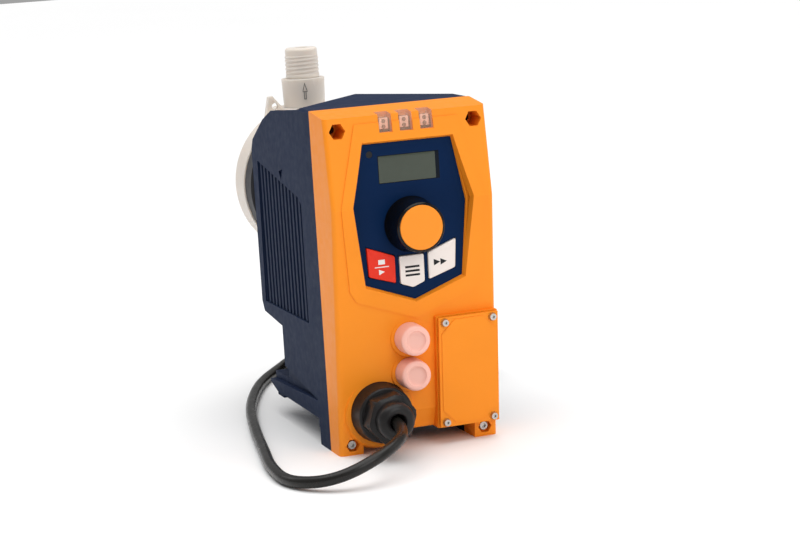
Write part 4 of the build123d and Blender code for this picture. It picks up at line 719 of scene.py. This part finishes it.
class PUMP_OT_liquid_end(bpy.types.Operator):
    """Make the threaded connectors, the flow arrow and the finishes of head and valves"""

    bl_idname = "pump.liquid_end"
    bl_label = "Head and valves"

    def execute(self, context):
        sizes = context.scene.pump_sizes
        steps = sizes.round_steps
        dress(finish_of("white"), "dosing_head", "discharge_valve_body", "suction_valve_body")
        dress(finish_of("grey"), "head_adapter", "diaphragm_core")
        dress(finish_of("seat"), "discharge_seat", "suction_seat")
        dress(finish_of("ceramic"), "discharge_ball", "suction_ball")
        t = np.linspace(0, 2 * np.pi, steps, endpoint=False)[None]
        for name, start, way in (("discharge", HEAD_Z + VALVE_RISE, 1), ("suction", HEAD_Z - VALVE_RISE, -1)):
            # Thread: the radius is 10.3 mm less depth x (0.5 - 0.5 cos(2 pi h / pitch - t))^0.7. It fades
            # in from 1.4 to 2.6 mm and out from 12.8 to 14 mm. The mouth is rounded, and the bore's
            # radius is 4.5 mm.
            h = np.linspace(0.0010, 0.0172, 150)[:, None]
            fade = np.clip((h - 0.0014) / 0.0012, 0, 1) * np.clip((0.0140 - h) / 0.0012, 0, 1)
            wave = 0.5 - 0.5 * np.cos(2 * np.pi * h / sizes.thread_pitch - t)
            lead_in = np.clip((h - 0.0132) / 0.0008, 0, 1)
            radius = 0.0103 - sizes.thread_depth * (wave ** 0.7 * fade + 1.1 * lead_in) + 0 * t
            a = np.linspace(0, np.pi / 2, 6)[1:, None]
            crown = 0.0086 + 0.0010 * np.cos(a) + 0 * t
            crown_h = 0.0172 + 0.0013 * np.sin(a)
            foot = np.array([[0.0074], [0.0074], [0.0096], [0.0099]]) + 0 * t
            foot_h = np.array([[-0.0038], [0.0], [0.0], [0.0]])
            bore = np.array([[0.0046], [0.0045], [0.0045]]) + 0 * t
            bore_h = np.array([[0.0185], [0.0180], [-0.0038]])
            r = np.concatenate([foot, radius, crown, bore])
            z = np.concatenate([foot_h, h, crown_h, bore_h]) + 0 * t
            points = np.stack([r * np.cos(t), VALVE_Y + r * np.sin(t), start + way * z], axis=-1)
            piece = new_piece(f"{name}_thread", points.reshape(-1, 3), grid_faces(len(r), steps), "housing",
                              "head_white", finish_of("white"), 50)
            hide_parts(f"{name}_connector")

        lean = np.radians(-108.0)
        out = np.array([np.cos(lean), np.sin(lean)])
        side = np.array([-out[1], out[0]])

        def on_valve(x, depth, z):
            reach = 0.01305 - 0.0003 * depth
            flat = reach[:, None] * out[None] + ((x + 1.0) * MM)[:, None] * side[None]
            return np.stack([flat[:, 0], VALVE_Y + flat[:, 1], z * MM], axis=1)

        stroke = 0.42
        # Arrow outline: a hollow head and a shaft drawn with two thin lines.
        head = [[(s * 1.5, 187.6), (0, 193.0), (0, 191.6), (s * 0.85, 188.3)] for s in (-1, 1)]
        head.append(bar(-1.5, 1.5, 187.2, 187.6))
        shaft = [bar(-0.75, -0.75 + stroke, 183.0, 187.2), bar(0.75 - stroke, 0.75, 183.0, 187.2),
                 bar(-0.75, 0.75, 182.7, 183.1)]
        shape = flat_mark(head + shaft, on_valve)
        new_piece("flow_arrow", *shape, "housing", "head_white", finish_of("mark_grey"))
        return {"FINISHED"}


class PUMP_OT_inner_works(bpy.types.Operator):
    """Finish the drive, the boards and the other pieces inside"""

    bl_idname = "pump.inner_works"
    bl_label = "Inner works"

    def execute(self, context):
        dress(finish_of("magnet"), "solenoid_yoke", "armature")
        dress(finish_of("copper"), "solenoid_coil")
        dress(finish_of("bronze"), "guide_bushes")
        dress(finish_of("steel"), "push_rod", "return_spring")
        dress(finish_of("board"), "control_board", "power_board")
        dress(finish_of("seat"), "encoder_body", "key_switches", "terminal_block", "lcd_module")
        return {"FINISHED"}


OPERATORS = (
    PUMP_OT_stage,
    PUMP_OT_lead,
    PUMP_OT_housing,
    PUMP_OT_display,
    PUMP_OT_knob,
    PUMP_OT_keys,
    PUMP_OT_windows,
    PUMP_OT_sockets,
    PUMP_OT_gland,
    PUMP_OT_liquid_end,
    PUMP_OT_inner_works,
)


class PUMP_PT_pieces(bpy.types.Panel):
    """Lists the pump's operators, sizes and colours"""

    bl_idname = "PUMP_PT_pieces"
    bl_label = "Dosing Pump"
    bl_space_type = "VIEW_3D"
    bl_region_type = "UI"
    bl_category = "Pump"

    def draw(self, context):
        column = self.layout.column(align=True)
        for operator in OPERATORS:
            column.operator(operator.bl_idname)
        for group in (context.scene.pump_sizes, context.scene.pump_colours):
            box = self.layout.box()
            for key in group.bl_rna.properties.keys():
                if key not in ("rna_type", "name"):
                    box.prop(group, key)


CLASSES = (PumpSizes, PumpColours, *OPERATORS, PUMP_PT_pieces)


def register():
    """Adds the classes and the two property groups."""
    for cls in CLASSES:
        bpy.utils.register_class(cls)
    bpy.types.Scene.pump_sizes = PointerProperty(type=PumpSizes)
    bpy.types.Scene.pump_colours = PointerProperty(type=PumpColours)


def unregister():
    """Takes them out again."""
    del bpy.types.Scene.pump_colours
    del bpy.types.Scene.pump_sizes
    for cls in reversed(CLASSES):
        bpy.utils.unregister_class(cls)


def main():
    """Registers the add-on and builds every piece."""
    register()
    for operator in OPERATORS:
        group, call = operator.bl_idname.split(".")
        getattr(getattr(bpy.ops, group), call)()


if __name__ == "__main__":
    main()
